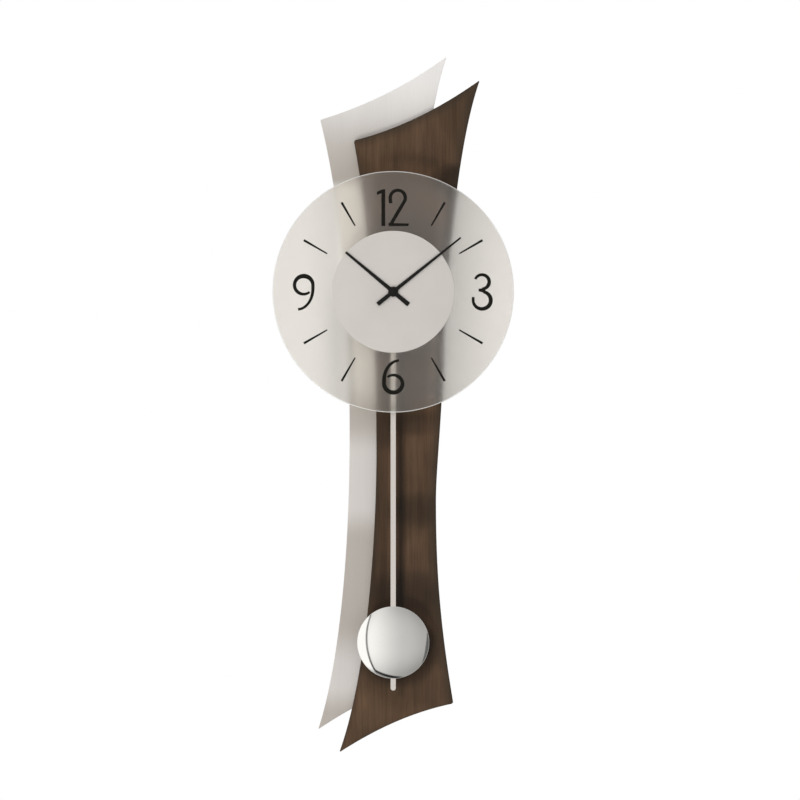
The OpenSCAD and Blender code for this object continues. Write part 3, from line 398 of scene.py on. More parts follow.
def glass_edge():
    """Ground rim of the dial's glass, which glows a little where light runs out of it."""
    look = Look("glass_edge")
    ground = look.noise(1400.0, 2.0, 0.6)
    look.set(
        Base_Color=varied(look, srgb(243, 242, 238), 0.02, ground),
        Roughness=look.band(ground, 0.3, 0.7, 0.25, 0.38), IOR=1.5, Transmission_Weight=0.3,
    )
    look.bump(ground, 0.006, 0.2)
    let_light_in(look, srgb(240, 240, 238), srgb(170, 170, 167))
    return look.material


def glass_satin():
    """Etched rear face, which blurs what lies behind it, in places a little and in places far."""
    look = Look("glass_satin")
    etch = look.noise(2600.0, 2.0, 0.6)
    look.set(
        Base_Color=varied(look, srgb(250, 247, 243), 0.015, etch),
        Roughness=look.band(etch, 0.50, 0.62, 0.33, 0.9),
        IOR=1.5, Transmission_Weight=1.0, Specular_IOR_Level=0.2,
    )
    look.bump(etch, 0.01, 0.25)
    let_light_in(look, srgb(251, 250, 248), srgb(171, 170, 168))
    return look.material


# Other materials


def satin_silver():
    """Printed silver of the centre disc."""
    look = Look("satin_silver")
    fine = look.noise(2400.0, 2.0, 0.6)
    soft = look.noise(22.0, 2.0)
    look.set(
        Base_Color=varied(look, srgb(227, 221, 215), 0.02, soft), Metallic=0.55,
        Roughness=look.band(fine, 0.3, 0.7, 0.42, 0.52),
    )
    look.bump(fine, 0.012, 0.3)
    return look.material


def metal(name, colour, rough, grain, stretch=(1, 1, 1), spread=0.05, worn=0.0):
    """Plain metal with a fine grain, which can be stretched to turning marks, and duller where worn."""
    look = Look(name)
    fine = look.noise(grain, 3.0, 0.6, look.stretch(stretch))
    dull = look.noise(70.0, 3.0, 0.6)
    base = varied(look, colour, spread, dull)
    if worn:
        base = look.mix(look.product(look.band(dull, 0.55, 0.75), worn), base, srgb(96, 84, 70))
    look.set(
        Base_Color=base, Metallic=1.0,
        Roughness=look.band(fine, 0.3, 0.7, rough - 0.05, rough + 0.06),
    )
    look.bump(fine, 0.01, 0.4)
    return look.material


def plain_finish(name, colour, rough, grain, spread, depth, level=0.4):
    """Moulded plastic, paint, rubber or resin with a fine surface grain."""
    look = Look(name)
    fine = look.noise(grain, 3.0, 0.55)
    broad = look.noise(55.0, 2.0)
    look.set(
        Base_Color=varied(look, colour, spread, broad),
        Roughness=look.band(fine, 0.3, 0.7, rough - 0.05, rough + 0.07),
        Specular_IOR_Level=level,
    )
    look.bump(fine, depth, 0.5)
    return look.material


ROD_LAMP_SHARE = 0.79
ROD_LIT_SPAN = (-2, 3)  # heights in mm about the glass's lowest point between which the rod turns to its painted paler tone


def rod_silver():
    """Silvered rod, with a paler tone painted as light on the stretch that the glass covers."""
    look = Look("rod_silver")
    fine = look.noise(1600.0, 3.0, 0.6, look.stretch((1, 1, 0.01)))
    painted_paler = look.band(look.z, *[(DIAL_Z - GLASS_R + z) * MM for z in ROD_LIT_SPAN])
    tone = look.mix(painted_paler, shown(203, 196, 190, ROD_LAMP_SHARE), srgb(254, 250, 245))
    look.set(
        Base_Color=look.times(tone, look.band(fine, 0.3, 0.7, 0.985, 1.0)), Metallic=0.5,
        Roughness=look.band(fine, 0.3, 0.7, 0.31, 0.42),
    )
    look.bump(fine, 0.01, 0.4)
    return look.material


def polished_chrome():
    """Mirror finish of the bob."""
    look = Look("polished_chrome")
    haze = look.noise(46.0, 2.0)
    fine = look.noise(3000.0, 2.0)
    look.set(
        Base_Color=varied(look, srgb(246, 244, 239), 0.01, haze), Metallic=1.0,
        Roughness=look.band(haze, 0.3, 0.7, 0.05, 0.08),
    )
    look.bump(fine, 0.002, 0.15)
    return look.material


def copper_wire():
    """Turns of enamelled wire, side by side."""
    look = Look("copper_wire")
    turns = look.add(
        "ShaderNodeTexWave", {"wave_type": "BANDS", "bands_direction": "X", "wave_profile": "SIN"},
        Vector=look.place, Scale=800.0,
    ).outputs["Fac"]
    look.set(
        Base_Color=look.mix(look.band(turns, 0.2, 0.8), srgb(116, 56, 26), srgb(196, 112, 62)),
        Metallic=0.8, Roughness=look.band(turns, 0.0, 1.0, 0.45, 0.3),
    )
    look.bump(turns, 0.05, 0.6)
    return look.material


def circuit_green():
    """Lacquered board with raised tracks."""
    look = Look("circuit_green")
    cells = look.add(
        "ShaderNodeTexVoronoi", {"distance": "CHEBYCHEV", "feature": "F1"}, Vector=look.place, Scale=330.0
    ).outputs["Distance"]
    track = look.band(cells, 0.42, 0.46)
    weave = look.noise(1800.0, 2.0)
    look.set(
        Base_Color=look.mix(track, varied(look, srgb(24, 84, 50), 0.08, weave), srgb(58, 128, 78)),
        Roughness=look.band(weave, 0.3, 0.7, 0.3, 0.4),
    )
    look.bump(track, 0.03, 0.5)
    return look.material


SLEEVE_SHOULDER = (-92.5, -92.2)  # heights in mm between which the battery's sleeve changes colour


def battery_sleeve():
    """Shrink sleeve of the cell: a dark body and a copper-coloured shoulder, with no lettering."""
    look = Look("battery_sleeve")
    shoulder = look.band(look.z, *[z * MM for z in SLEEVE_SHOULDER])
    fine = look.noise(900.0, 2.0)
    look.set(
        Base_Color=look.mix(shoulder, varied(look, srgb(30, 33, 38), 0.1, fine), srgb(176, 116, 66)),
        Metallic=0.55, Roughness=look.band(fine, 0.3, 0.7, 0.26, 0.34), Coat_Weight=0.4,
    )
    look.bump(fine, 0.01, 0.3)
    return look.material


SLOT_LOOKS = {
    "walnut": walnut(),
    "brushed_aluminium": brushed_aluminium("brushed_aluminium", True),
    "satin_glass": glass_clear(),
    "satin_silver": satin_silver(),
    "printed_black": plain_finish("printed_black", srgb(22, 21, 17), 0.55, 1500.0, 0.1, 0.008, 0.15),
    "black_enamel": plain_finish("black_enamel", srgb(20, 20, 18), 0.42, 1200.0, 0.12, 0.006, 0.2),
    "zinc_steel": metal("zinc_steel", srgb(196, 197, 199), 0.32, 700.0, worn=0.12),
    "standoff_aluminium": metal("standoff_aluminium", srgb(205, 206, 208), 0.28, 900.0, (1, 14, 1)),
    "brass": metal("brass", srgb(206, 172, 98), 0.3, 1100.0, spread=0.07, worn=0.2),
    "black_rubber": plain_finish("black_rubber", srgb(30, 30, 31), 0.8, 500.0, 0.15, 0.06, 0.2),
    "black_plastic": plain_finish("black_plastic", srgb(34, 34, 36), 0.5, 650.0, 0.1, 0.05),
    "white_plastic": plain_finish("white_plastic", srgb(226, 225, 219), 0.45, 650.0, 0.03, 0.03),
    "magnet_steel": metal("magnet_steel", srgb(112, 114, 120), 0.35, 600.0),
    "lamination_steel": metal("lamination_steel", srgb(158, 160, 164), 0.4, 500.0, (1, 20, 1)),
    "copper_wire": copper_wire(),
    "circuit_green": circuit_green(),
    "chip_epoxy": plain_finish("chip_epoxy", srgb(20, 20, 21), 0.35, 260.0, 0.15, 0.08),
    "battery_sleeve": battery_sleeve(),
    "rod_silver": rod_silver(),
    "polished_chrome": polished_chrome(),
    "bob_back_metal": metal("bob_back_metal", srgb(186, 186, 188), 0.34, 600.0),
}
SATIN, EDGE = glass_satin(), glass_edge()
ALU_REAR = brushed_aluminium("brushed_aluminium_rear", False)


# Meshes

SMOOTH_ANGLE = 35.0  # degrees up to which faces are shaded as one


def new_object(name, mesh, material):
    obj = bpy.data.objects.new(name, mesh)
    bpy.context.scene.collection.objects.link(obj)
    mesh.materials.clear()
    mesh.materials.append(material)
    return obj


def stand_for(obj, node):
    """The piece rides on its node's body in the node's place, and the node is hidden."""
    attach(obj, BODY[node])
    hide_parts(node)


def smooth(mesh, angle=SMOOTH_ANGLE):
    mesh.polygons.foreach_set("use_smooth", [True] * len(mesh.polygons))
    mesh.set_sharp_from_angle(angle=math.radians(angle))


def build(name, points, faces, material, angle=SMOOTH_ANGLE):
    """Mesh from points in mm, with its faces turned outwards."""
    bm = bmesh.new()
    verts = [bm.verts.new(Vector(p) * MM) for p in points]
    for face in faces:
        if len(set(face)) > 2:
            bm.faces.new([verts[i] for i in face])
    bmesh.ops.remove_doubles(bm, verts=bm.verts, dist=1e-7)
    bmesh.ops.recalc_face_normals(bm, faces=bm.faces)
    mesh = bpy.data.meshes.new(name)
    bm.to_mesh(mesh)
    bm.free()
    smooth(mesh, angle)
    return new_object(name, mesh, material)


def rounded(corners, radii, steps=4):
    """Closed profile whose corners are rounded, with a radius for each."""
    out = []
    for i, (corner, r) in enumerate(zip(corners, radii)):
        at = np.array(corner, float)
        before = np.array(corners[i - 1], float) - at
        after = np.array(corners[(i + 1) % len(corners)], float) - at
        if r <= 0:
            out.append(tuple(at))
            continue
        reach = min(r, 0.45 * np.linalg.norm(before), 0.45 * np.linalg.norm(after))
        a = at + before / np.linalg.norm(before) * reach
        b = at + after / np.linalg.norm(after) * reach
        for t in np.linspace(0, 1, steps + 1):
            out.append(tuple((1 - t) ** 2 * a + 2 * t * (1 - t) * at + t * t * b))
    return out


def lathe(name, profile, material, centre=(0.0, 0.0), turns=96, angle=SMOOTH_ANGLE):
    """Solid of revolution along Y through a point of the dial, from a closed profile of (radius, y) in mm."""
    points, faces, count = [], [], len(profile)
    for k in range(turns):
        a = 2 * math.pi * k / turns
        for r, y in profile:
            points.append((centre[0] + r * math.cos(a), y, DIAL_Z + centre[1] + r * math.sin(a)))
    for k in range(turns):
        for i in range(count):
            j, after = (i + 1) % count, (k + 1) % turns
            if profile[i][0] < 1e-6 and profile[j][0] < 1e-6:
                continue
            faces.append((k * count + i, k * count + j, after * count + j, after * count + i))
    return build(name, points, faces, material, angle)


WELD = 2e-6  # distance in metres within which points of a CAD mesh are one
FLAT_ANGLE = 0.6  # degrees up to which two faces of a CAD mesh are one
EDGE_ANGLE = 38.0  # degrees from which an edge is eased


def bevelled(node, width, segments):
    """A node's own shape with its edges eased."""
    mesh = frame["nodes"][node].data.copy()
    if "custom_normal" in mesh.attributes:
        mesh.attributes.remove(mesh.attributes["custom_normal"])
    bm = bmesh.new()
    bm.from_mesh(mesh)
    bmesh.ops.remove_doubles(bm, verts=bm.verts, dist=WELD)
    bmesh.ops.dissolve_limit(bm, angle_limit=math.radians(FLAT_ANGLE), verts=bm.verts, edges=bm.edges)
    bm.to_mesh(mesh)
    bm.free()
    mesh.polygons.foreach_set("use_smooth", [True] * len(mesh.polygons))
    obj = new_object(node + "_piece", mesh, SLOT_LOOKS[SLOT[node]])
    mod = obj.modifiers.new("eased_edges", "BEVEL")
    mod.width = width * MM
    mod.segments = segments
    mod.limit_method = "ANGLE"
    mod.angle_limit = math.radians(EDGE_ANGLE)
    mod.harden_normals = True
    mod.use_clamp_overlap = True
    stand_for(obj, node)


def cut(obj, cutters):
    """Takes the cutters out of a piece."""
    for cutter in cutters:
        mod = obj.modifiers.new("cut", "BOOLEAN")
        mod.operation = "DIFFERENCE"
        mod.solver = "EXACT"
        mod.object = cutter
    view = bpy.context.evaluated_depsgraph_get()
    mesh = bpy.data.meshes.new_from_object(obj.evaluated_get(view))
    obj.modifiers.clear()
    obj.data = mesh
    for cutter in cutters:
        bpy.data.objects.remove(cutter)
    smooth(mesh)
    return obj


def bar(name, at, y_front, y_back, r_front, r_back, turns=32):
    """Round cutter along Y through a point of the dial."""
    profile = [(0, y_front), (r_front, y_front), (r_back, y_back), (0, y_back)]
    return lathe(name, profile, SLOT_LOOKS["zinc_steel"], at, turns)


def block(name, x, y, z):
    """Box, with z about the dial's centre."""
    points = [(a, b, DIAL_Z + c) for a in x for b in y for c in z]
    faces = [(0, 1, 3, 2), (4, 6, 7, 5), (0, 4, 5, 1), (2, 3, 7, 6), (0, 2, 6, 4), (1, 5, 7, 3)]
    return build(name, points, faces, SLOT_LOOKS["zinc_steel"])


# Panels

# The four sides of each panel, from the top clockwise, as cubic curves joined end to end, in mm across
# and up from the dial's centre
WOOD_SIDES = [
    [[(-39.4, 151.5), (6, 163), (46.5, 183.5), (86.7, 212)]],
    [
        [(86.7, 212), (61, 140), (51.9, -15), (50.5, -60)],
        [(50.5, -60), (48.9, -125), (42.8, -178), (42.8, -208)],
        [(42.8, -208), (42.8, -282), (47.5, -336), (60.2, -411.5)],
    ],
    [[(60.2, -411.5), (18.8, -420), (-17.6, -437), (-54, -460.5)]],
    [
        [(-54, -460.5), (-25.4, -382), (-16.8, -240), (-16.8, -160)],
        [(-16.8, -160), (-16.8, -60), (-21.2, 52), (-39.4, 151.5)],
    ],
]
ALU_SIDES = [
    [[(-73, 172.3), (-27.3, 186), (14.2, 206.6), (53.5, 235.5)]],
    [
        [(53.5, 235.5), (28, 163), (23, 10), (21.2, -37)],
        [(21.2, -37), (20.8, -102), (16.5, -156), (16.5, -186)],
        [(16.5, -186), (18, -260), (25, -313), (38, -388.5)],
    ],
    [[(38, -388.5), (-2, -395), (-37, -412), (-75, -437.5)]],
    [
        [(-75, -437.5), (-49.2, -357), (-43.6, -226), (-43.6, -145)],
        [(-43.6, -145), (-43.6, -45.6), (-48.4, 73.5), (-73, 172.3)],
    ],
]

# Shares of a side's length where its points lie, close together at the ends
SIDE_END = np.array([0, 0.004, 0.008, 0.013, 0.03, 0.055, 0.09, 0.135, 0.19, 0.26, 0.34, 0.42])
ACROSS = np.r_[SIDE_END, 0.5, 1 - SIDE_END[::-1]]
END = np.array([0, 0.0006, 0.0012, 0.002, 0.003, 0.006, 0.010, 0.015, 0.021])
ALONG = np.r_[END, np.linspace(0.028, 0.972, 110), 1 - END[::-1]]

# How far in the dark of each side reaches in mm, and how strong it is
WOOD_WEAR = [(10, 0.95), (11, 1.0), (3, 0.4), (5, 0.6)]


def dense(curves, count=90):
    """Points along cubic curves joined end to end."""
    t = np.linspace(0, 1, count)[:, None]
    rows = []
    for a, b, c, d in np.array(curves, float):
        rows.append((1 - t) ** 3 * a + 3 * (1 - t) ** 2 * t * b + 3 * (1 - t) * t * t * c + t**3 * d)
    return np.vstack([row[:-1] for row in rows] + [rows[-1][-1:]])


def run_of(line):
    """Length from the start of a line to each of its points."""
    return np.r_[0, np.cumsum(np.linalg.norm(np.diff(line, axis=0), axis=1))]


def points_at(line, lengths):
    run = run_of(line)
    return np.c_[np.interp(lengths, run, line[:, 0]), np.interp(lengths, run, line[:, 1])]


def spaced(line, shares):
    """Points of a line at shares of its length."""
    return points_at(line, np.asarray(shares) * run_of(line)[-1])


def moved_in(line, distance):
    way = np.gradient(line, axis=0)
    way /= np.linalg.norm(way, axis=1)[:, None]
    return line + distance * np.c_[way[:, 1], -way[:, 0]]


def meeting(first, second):
    """Where the end of one line crosses the start of another: numbers of the two segments and the point."""
    p, r = first[:-1], np.diff(first, axis=0)
    q, s = second[:-1], np.diff(second, axis=0)
    gap = q[None] - p[:, None]
    cross = r[:, None, 0] * s[None, :, 1] - r[:, None, 1] * s[None, :, 0]
    t = (gap[..., 0] * s[None, :, 1] - gap[..., 1] * s[None, :, 0]) / cross
    u = (gap[..., 0] * r[:, None, 1] - gap[..., 1] * r[:, None, 0]) / cross
    hits = np.argwhere((t >= 0) & (t <= 1) & (u >= 0) & (u <= 1))
    i, j = hits[np.argmin(hits[:, 1])]
    return i, j, p[i] + t[i, j] * r[i]


def blunted(lines, reach):
    """Lines that meet in short arcs in place of sharp tips."""
    kept = []
    for line in lines:
        run = run_of(line)
        ends = points_at(line, [reach, run[-1] - reach])
        inside = (run > reach) & (run < run[-1] - reach)
        kept.append(np.vstack([ends[0], line[inside], ends[1]]))
    t = np.linspace(0, 1, 9)[:, None]
    arcs = [
        (1 - t) ** 2 * kept[k][-1] + 2 * t * (1 - t) * lines[k][-1] + t * t * kept[(k + 1) % 4][0]
        for k in range(4)
    ]
    return [np.vstack([arcs[k - 1][4:-1], kept[k], arcs[k][1:5]]) for k in range(4)]


def ring(sides, distance, tip):
    """The four sides of an outline moved in, trimmed where they meet and blunted."""
    lines = [dense(s) for s in sides]
    if distance > 0:
        lines = [moved_in(line, distance) for line in lines]
        joints = [meeting(lines[k], lines[(k + 1) % 4]) for k in range(4)]
        trimmed = []
        for k, line in enumerate(lines):
            _, start, first = joints[k - 1]
            end, _, last = joints[k]
            trimmed.append(np.vstack([first, line[start + 1 : end + 1], last]))
        lines = trimmed
    return [spaced(line, ACROSS if k % 2 == 0 else ALONG) for k, line in enumerate(blunted(lines, tip))]


def patch(sides):
    """Grid of points that fills four sides: rows from the top down, columns from left to right."""
    top, right, bottom, left = sides[0], sides[1], sides[2][::-1], sides[3][::-1]
    u, v = ACROSS[None, :, None], ALONG[:, None, None]
    return (
        (1 - v) * top[None] + v * bottom[None] + (1 - u) * left[:, None] + u * right[:, None]
        - (1 - u) * (1 - v) * top[0] - u * (1 - v) * top[-1] - (1 - u) * v * bottom[0] - u * v * bottom[-1]
    )


def loop_numbers(rows, columns):
    """Numbers of a grid's border points, in the order of the four sides."""
    top = [c for c in range(columns)]
    right = [r * columns + columns - 1 for r in range(rows)]
    bottom = [(rows - 1) * columns + c for c in range(columns)][::-1]
    left = [r * columns for r in range(rows)][::-1]
    return top[:-1] + right[:-1] + bottom[:-1] + left[:-1]


def panel(name, sides, y_front, y_back, front_edge, back_edge, tip, material):
    """Flat board with four curved sides, rounded edges and blunted tips."""
    rows, columns = len(ALONG), len(ACROSS)
    turn = [math.radians(a) for a in (0, 22.5, 45, 67.5, 90)]
    points, faces, loops = [], [], []

    def add_face(edge, y):
        grid = patch(ring(sides, edge, tip))
        start = len(points)
        points.extend((x, y, DIAL_Z + z) for x, z in grid.reshape(-1, 2))
        for r in range(rows - 1):
            for c in range(columns - 1):
                a = start + r * columns + c
                faces.append((a, a + 1, a + columns + 1, a + columns))
        return [start + n for n in loop_numbers(rows, columns)]

    def add_loop(edge, y):
        start = len(points)
        line = np.vstack([side[:-1] for side in ring(sides, edge, tip)])
        points.extend((x, y, DIAL_Z + z) for x, z in line)
        return list(range(start, start + len(line)))

    loops.append(add_face(front_edge, y_front))
    for a in turn[1:-1][::-1]:
        loops.append(add_loop(front_edge * (1 - math.cos(a)), y_front + front_edge * (1 - math.sin(a))))
    loops.append(add_loop(0, y_front + front_edge))
    loops.append(add_loop(0, y_back - back_edge))
    for a in turn[1:-1]:
        loops.append(add_loop(back_edge * (1 - math.cos(a)), y_back - back_edge * (1 - math.sin(a))))
    loops.append(add_face(back_edge, y_back))
    for one, two in zip(loops, loops[1:]):
        for i in range(len(one)):
            j = (i + 1) % len(one)
            faces.append((one[i], one[j], two[j], two[i]))
    return build(name, points, faces, material)


def wear_edges(mesh, sides, wear):
    """Stores how near each point lies to a worn side."""
    flat = np.array([v.co for v in mesh.vertices])[:, ::2] / MM - (0, DIAL_Z)
    rim = np.zeros(len(flat))
    for side, (reach, strength) in zip(sides, wear):
        line = dense(side, 60)
        start, step = line[:-1], np.diff(line, axis=0)
        square = (step**2).sum(1)
        for i, p in enumerate(flat):
            t = np.clip(((p - start) * step).sum(1) / square, 0, 1)
            near = np.linalg.norm(start + t[:, None] * step - p, axis=1).min()
            rim[i] = max(rim[i], strength * max(1 - near / reach, 0))
    layer = mesh.attributes.new("rim", "FLOAT", "POINT")
    layer.data.foreach_set("value", rim)


# Rounding of the front and back edges, and reach of the blunted tips, in mm
WOOD_ROUNDING = (1.1, 0.5, 2.5)
ALU_ROUNDING = (0.25, 0.25, 1.5)

# Holes, in mm about the dial's centre
knob_joint = JOINTS["setting_knob_turn"]["pos_m"]
KNOB = (knob_joint[0] / MM, knob_joint[2] / MM - DIAL_Z)
KNOB_WAY_R = 11
STANDOFFS = [(-12, 44), (28, 42), (42, -10), (38, -38)]
STANDOFF_SCREW_R, STANDOFF_SCREW_REACH = 1.5, 12.5
PANEL_SCREWS = [(5, 140), (2, -130), (0, -260), (-5, -380)]
PANEL_SCREW_R, PANEL_SCREW_REACH = 1.45, 2.5
SCREW_HEAD_R, SCREW_GAP = 3.1, 0.1
WINDOW_X, WINDOW_Z = (8, 30), (-50, 10)
PAST_ALU = 70  # where the aluminium's window ends, beyond the panel's right edge
HEAD_WAY_X, HEAD_WAY_Z = (-6, 6), (79, 98)
HEAD_WAY_FRONT = -10  # floor of the wood's pocket for the wall screw's head


def countersunk(at, r, y_back, reach):
    """Cutters for a countersunk screw's hole: its shank and its head."""
    hole, sink = r + SCREW_GAP, SCREW_HEAD_R - r
    return [
        bar("shank", at, y_back - reach, y_back + 0.5, hole, hole),
        bar("head", at, y_back - sink, y_back + 0.01, hole, SCREW_HEAD_R + SCREW_GAP),
    ]


def ways_through(window_x, y_front, y_back, head_front):
    """Cutters for the battery's window, the way to the knob and the way for the wall screw's head."""
    return [
        block("window", window_x, (y_front, y_back), WINDOW_Z),
        bar("knob_way", KNOB, y_front, y_back, KNOB_WAY_R, KNOB_WAY_R, 96),
        block("head_way", HEAD_WAY_X, (head_front, y_back), HEAD_WAY_Z),
    ]


wood = panel("walnut_panel", WOOD_SIDES, WOOD_FRONT, WOOD_BACK, *WOOD_ROUNDING, SLOT_LOOKS["walnut"])
wear_edges(wood.data, WOOD_SIDES, WOOD_WEAR)
cutters = ways_through(WINDOW_X, WOOD_FRONT - 1, WOOD_BACK + 1, HEAD_WAY_FRONT)
for at in STANDOFFS:
    cutters += countersunk(at, STANDOFF_SCREW_R, WOOD_BACK, STANDOFF_SCREW_REACH)
stand_for(cut(wood, cutters), "wood_panel")

alu = panel(
    "aluminium_back_panel", ALU_SIDES, ALU_FRONT, ALU_BACK, *ALU_ROUNDING, SLOT_LOOKS["brushed_aluminium"]
)
cutters = ways_through((WINDOW_X[0], PAST_ALU), WOOD_BACK - 1, ALU_BACK + 1, WOOD_BACK - 1)
for at in PANEL_SCREWS:
    cutters += countersunk(at, PANEL_SCREW_R, ALU_BACK, PANEL_SCREW_REACH)
alu = cut(alu, cutters)
alu.data.materials.append(ALU_REAR)
for face in alu.data.polygons:
    if face.normal.y > -0.5:
        face.material_index = len(alu.data.materials) - 1
stand_for(alu, "aluminium_panel")

# Dial

GLASS_BORE, GLASS_ROUNDING = 9, [0.2, 1.2, 0.8, 0.2]
DISC_R, DISC_BORE = 60.9, 3

glass = lathe(
    "satin_glass_dial",
    rounded([
        (GLASS_BORE, GLASS_FRONT), (GLASS_R, GLASS_FRONT), (GLASS_R, GLASS_BACK), (GLASS_BORE, GLASS_BACK),
    ], GLASS_ROUNDING, 6),
    SLOT_LOOKS["satin_glass"], turns=256, angle=60,
)
glass.data.materials.append(SATIN)
glass.data.materials.append(EDGE)
for face in glass.data.polygons:
    if face.normal.y > 0.9:
        face.material_index = 1
    elif face.normal.y > -0.97:
        face.material_index = 2
stand_for(glass, "glass_dial")

disc_profile = rounded([
    (DISC_BORE, DISC_FRONT), (DISC_R, DISC_FRONT), (DISC_R, GLASS_FRONT), (DISC_BORE, GLASS_FRONT),
], [0.1, 0.25, 0, 0])
stand_for(
    lathe("silver_centre_disc", disc_profile, SLOT_LOOKS["satin_silver"], turns=256), "centre_disc"
)

# Pendulum

BOB = (0.0, middle("bob_front_shell", 2) - DIAL_Z)
BOB_R, BOB_WALL = radius("bob_front_shell"), 0.8
BOB_DEPTH = ROD_FRONT - planes("bob_front_shell")[0]
BALL_R = (BOB_R**2 + BOB_DEPTH**2) / (2 * BOB_DEPTH)
LIP = 0.08  # radius of the bob's rolled lip
OUTER_END, INNER_END, LIP_END = 0.3, 1.6, 1.2  # how far inside the bob's edge its curves and lip end


def dome(reach, y_top, ball, steps=26):
    """Profile points of a dome from its top outwards, close together at the end."""
    radii = [reach * i / steps for i in range(steps)] + [reach - 0.05, reach]
    return [(r, y_top + ball - math.sqrt(ball**2 - r**2)) for r in radii]


front_top = ROD_FRONT - BOB_DEPTH
outer = dome(BOB_R - OUTER_END, front_top, BALL_R)
inner = dome(BOB_R - INNER_END, front_top + BOB_WALL, BALL_R - BOB_WALL)
lip = [
    (BOB_R - LIP, ROD_FRONT - 2 * LIP), (BOB_R, ROD_FRONT - LIP), (BOB_R - LIP / 2, ROD_FRONT - 0.01),
    (BOB_R - LIP_END, ROD_FRONT),
]
shell = outer + lip + inner[::-1]
stand_for(lathe("bob_dome", shell, SLOT_LOOKS["polished_chrome"], BOB, 192, 70), "bob_front_shell")

# Pieces that keep their CAD shape with eased edges

# Node, width of its eased edges in mm, and steps round them
EASED = [
    ("pendulum_rod", 0.3, 3), ("minute_hand", 0.14, 2), ("hour_hand", 0.14, 2), ("hand_cap_nut", 0.18, 2),
    ("bob_back_shell", 0.15, 2), ("bob_clamp", 0.3, 2), ("bob_screw", 0.25, 2), ("dial_standoffs", 0.3, 2),
    ("dial_carrier", 0.25, 2), ("hanger_plate", 0.3, 2), ("hanger_screws", 0.12, 2),
    ("panel_screws", 0.12, 2), ("standoff_screws", 0.12, 2), ("wall_buffers", 0.5, 3),
    ("movement_front_shell", 0.3, 2), ("movement_rear_cover", 0.25, 2), ("case_screws", 0.12, 2),
    ("setting_knob", 0.35, 2), ("battery", 0.45, 3), ("threaded_bush", 0.15, 2),
    ("rubber_gasket", 0.2, 2), ("dial_washer", 0.1, 2), ("hex_nut", 0.2, 2),
    ("train_plate", 0.1, 1), ("minute_arbor", 0.05, 1), ("hour_wheel", 0.05, 1), ("motion_wheel", 0.05, 1),
    ("centre_wheel", 0.05, 1), ("third_wheel", 0.05, 1), ("fourth_wheel", 0.05, 1),
    ("intermediate_wheel", 0.05, 1), ("rotor", 0.05, 1), ("motor_stator", 0.08, 1), ("motor_coil", 0.1, 2),
    ("circuit_board", 0.08, 1), ("quartz_crystal", 0.2, 2), ("control_chip", 0.2, 2),
    ("pendulum_coil", 0.1, 2), ("pendulum_pivot_pin", 0.15, 2), ("pendulum_magnet", 0.2, 2),
    ("pendulum_hanger", 0.25, 2),
    ("battery_contact_positive", 0.05, 1), ("battery_contact_negative", 0.05, 1),
]
for node, width, segments in EASED:
    bevelled(node, width, segments)

# The printed marks keep their CAD shape as it is
for node in ("hour_markers", "numeral_12", "numeral_3", "numeral_6", "numeral_9"):
    mesh = frame["nodes"][node].data
    mesh.materials.clear()
    mesh.materials.append(SLOT_LOOKS["printed_black"])

# Moulded marks on the movement

# How far the foot of a mark sits in its face, and how far the marks stand up, in mm
SUNK, FRAME_RISE, SIGN_RISE, RING_RISE = 0.1, 0.3, 0.15, 0.2


def raised(name, outlines, y, rise, node, finish):
    """Flat marks that stand up from a node's rear face, from closed outlines about the dial's centre."""
    points, faces = [], []
    for outline in outlines:
        start, count = len(points), len(outline)
        points += [(x, y - SUNK, DIAL_Z + z) for x, z in outline]
        points += [(x, y + rise, DIAL_Z + z) for x, z in outline]
        faces += [tuple(range(start, start + count)), tuple(range(start + count, start + 2 * count))]
        for i in range(count):
            j = (i + 1) % count
            faces.append((start + i, start + j, start + count + j, start + count + i))
    obj = build(name, points, faces, SLOT_LOOKS[finish])
    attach(obj, BODY[node])


def stripe(x0, x1, z0, z1):
    return [(x0, z0), (x1, z0), (x1, z1), (x0, z1)]


def cross(x, z, reach, half):
    """Plus sign."""
    quarter = [(reach, -half), (reach, half), (half, half)]
    turns = [(1, 0), (0, 1), (-1, 0), (0, -1)]
    return [(x + a * c - b * s, z + a * s + b * c) for c, s in turns for a, b in quarter]


def turning_arrow(centre, r, start, end, half=0.4, head=1.3):
    """Arc with an arrowhead at its end; angles in degrees."""

    def at(distance, angle):
        a = math.radians(angle)
        return centre[0] + distance * math.cos(a), centre[1] + distance * math.sin(a)

    angles = np.linspace(start, end, 24)
    tip = [at(r + head, end), at(r, end + 14), at(r - head, end)]
    return [at(r + half, a) for a in angles] + tip + [at(r - half, a) for a in angles[::-1]]


COVER_BACK = planes("movement_rear_cover")[1]
KNOB_BACK = planes("setting_knob")[1]

LEFT, RIGHT, LOW, HIGH, RIB = -21.0, 6.0, -45.0, 6.0, 0.8  # the frame round the cover's face
raised("cover_frame", [
    stripe(LEFT, RIGHT, LOW, LOW + RIB),
    stripe(LEFT, RIGHT, HIGH - RIB, HIGH),
    stripe(LEFT, LEFT + RIB, LOW + RIB, HIGH - RIB),
    stripe(RIGHT - RIB, RIGHT, LOW + RIB, HIGH - RIB),
], COVER_BACK, FRAME_RISE, "movement_rear_cover", "black_plastic")

POLE_X, PLUS_Z, MINUS_Z, SIGN_REACH, SIGN_HALF = 9.0, 3.5, -44.0, 1.2, 0.3
ARROW_R, ARROW_START, ARROW_END = 10.2, 205, 320
raised("moulded_signs", [
    cross(POLE_X, PLUS_Z, SIGN_REACH, SIGN_HALF),
    stripe(POLE_X - SIGN_REACH, POLE_X + SIGN_REACH, MINUS_Z - SIGN_HALF, MINUS_Z + SIGN_HALF),
    turning_arrow(KNOB, ARROW_R, ARROW_START, ARROW_END),
], COVER_BACK, SIGN_RISE, "movement_rear_cover", "white_plastic")

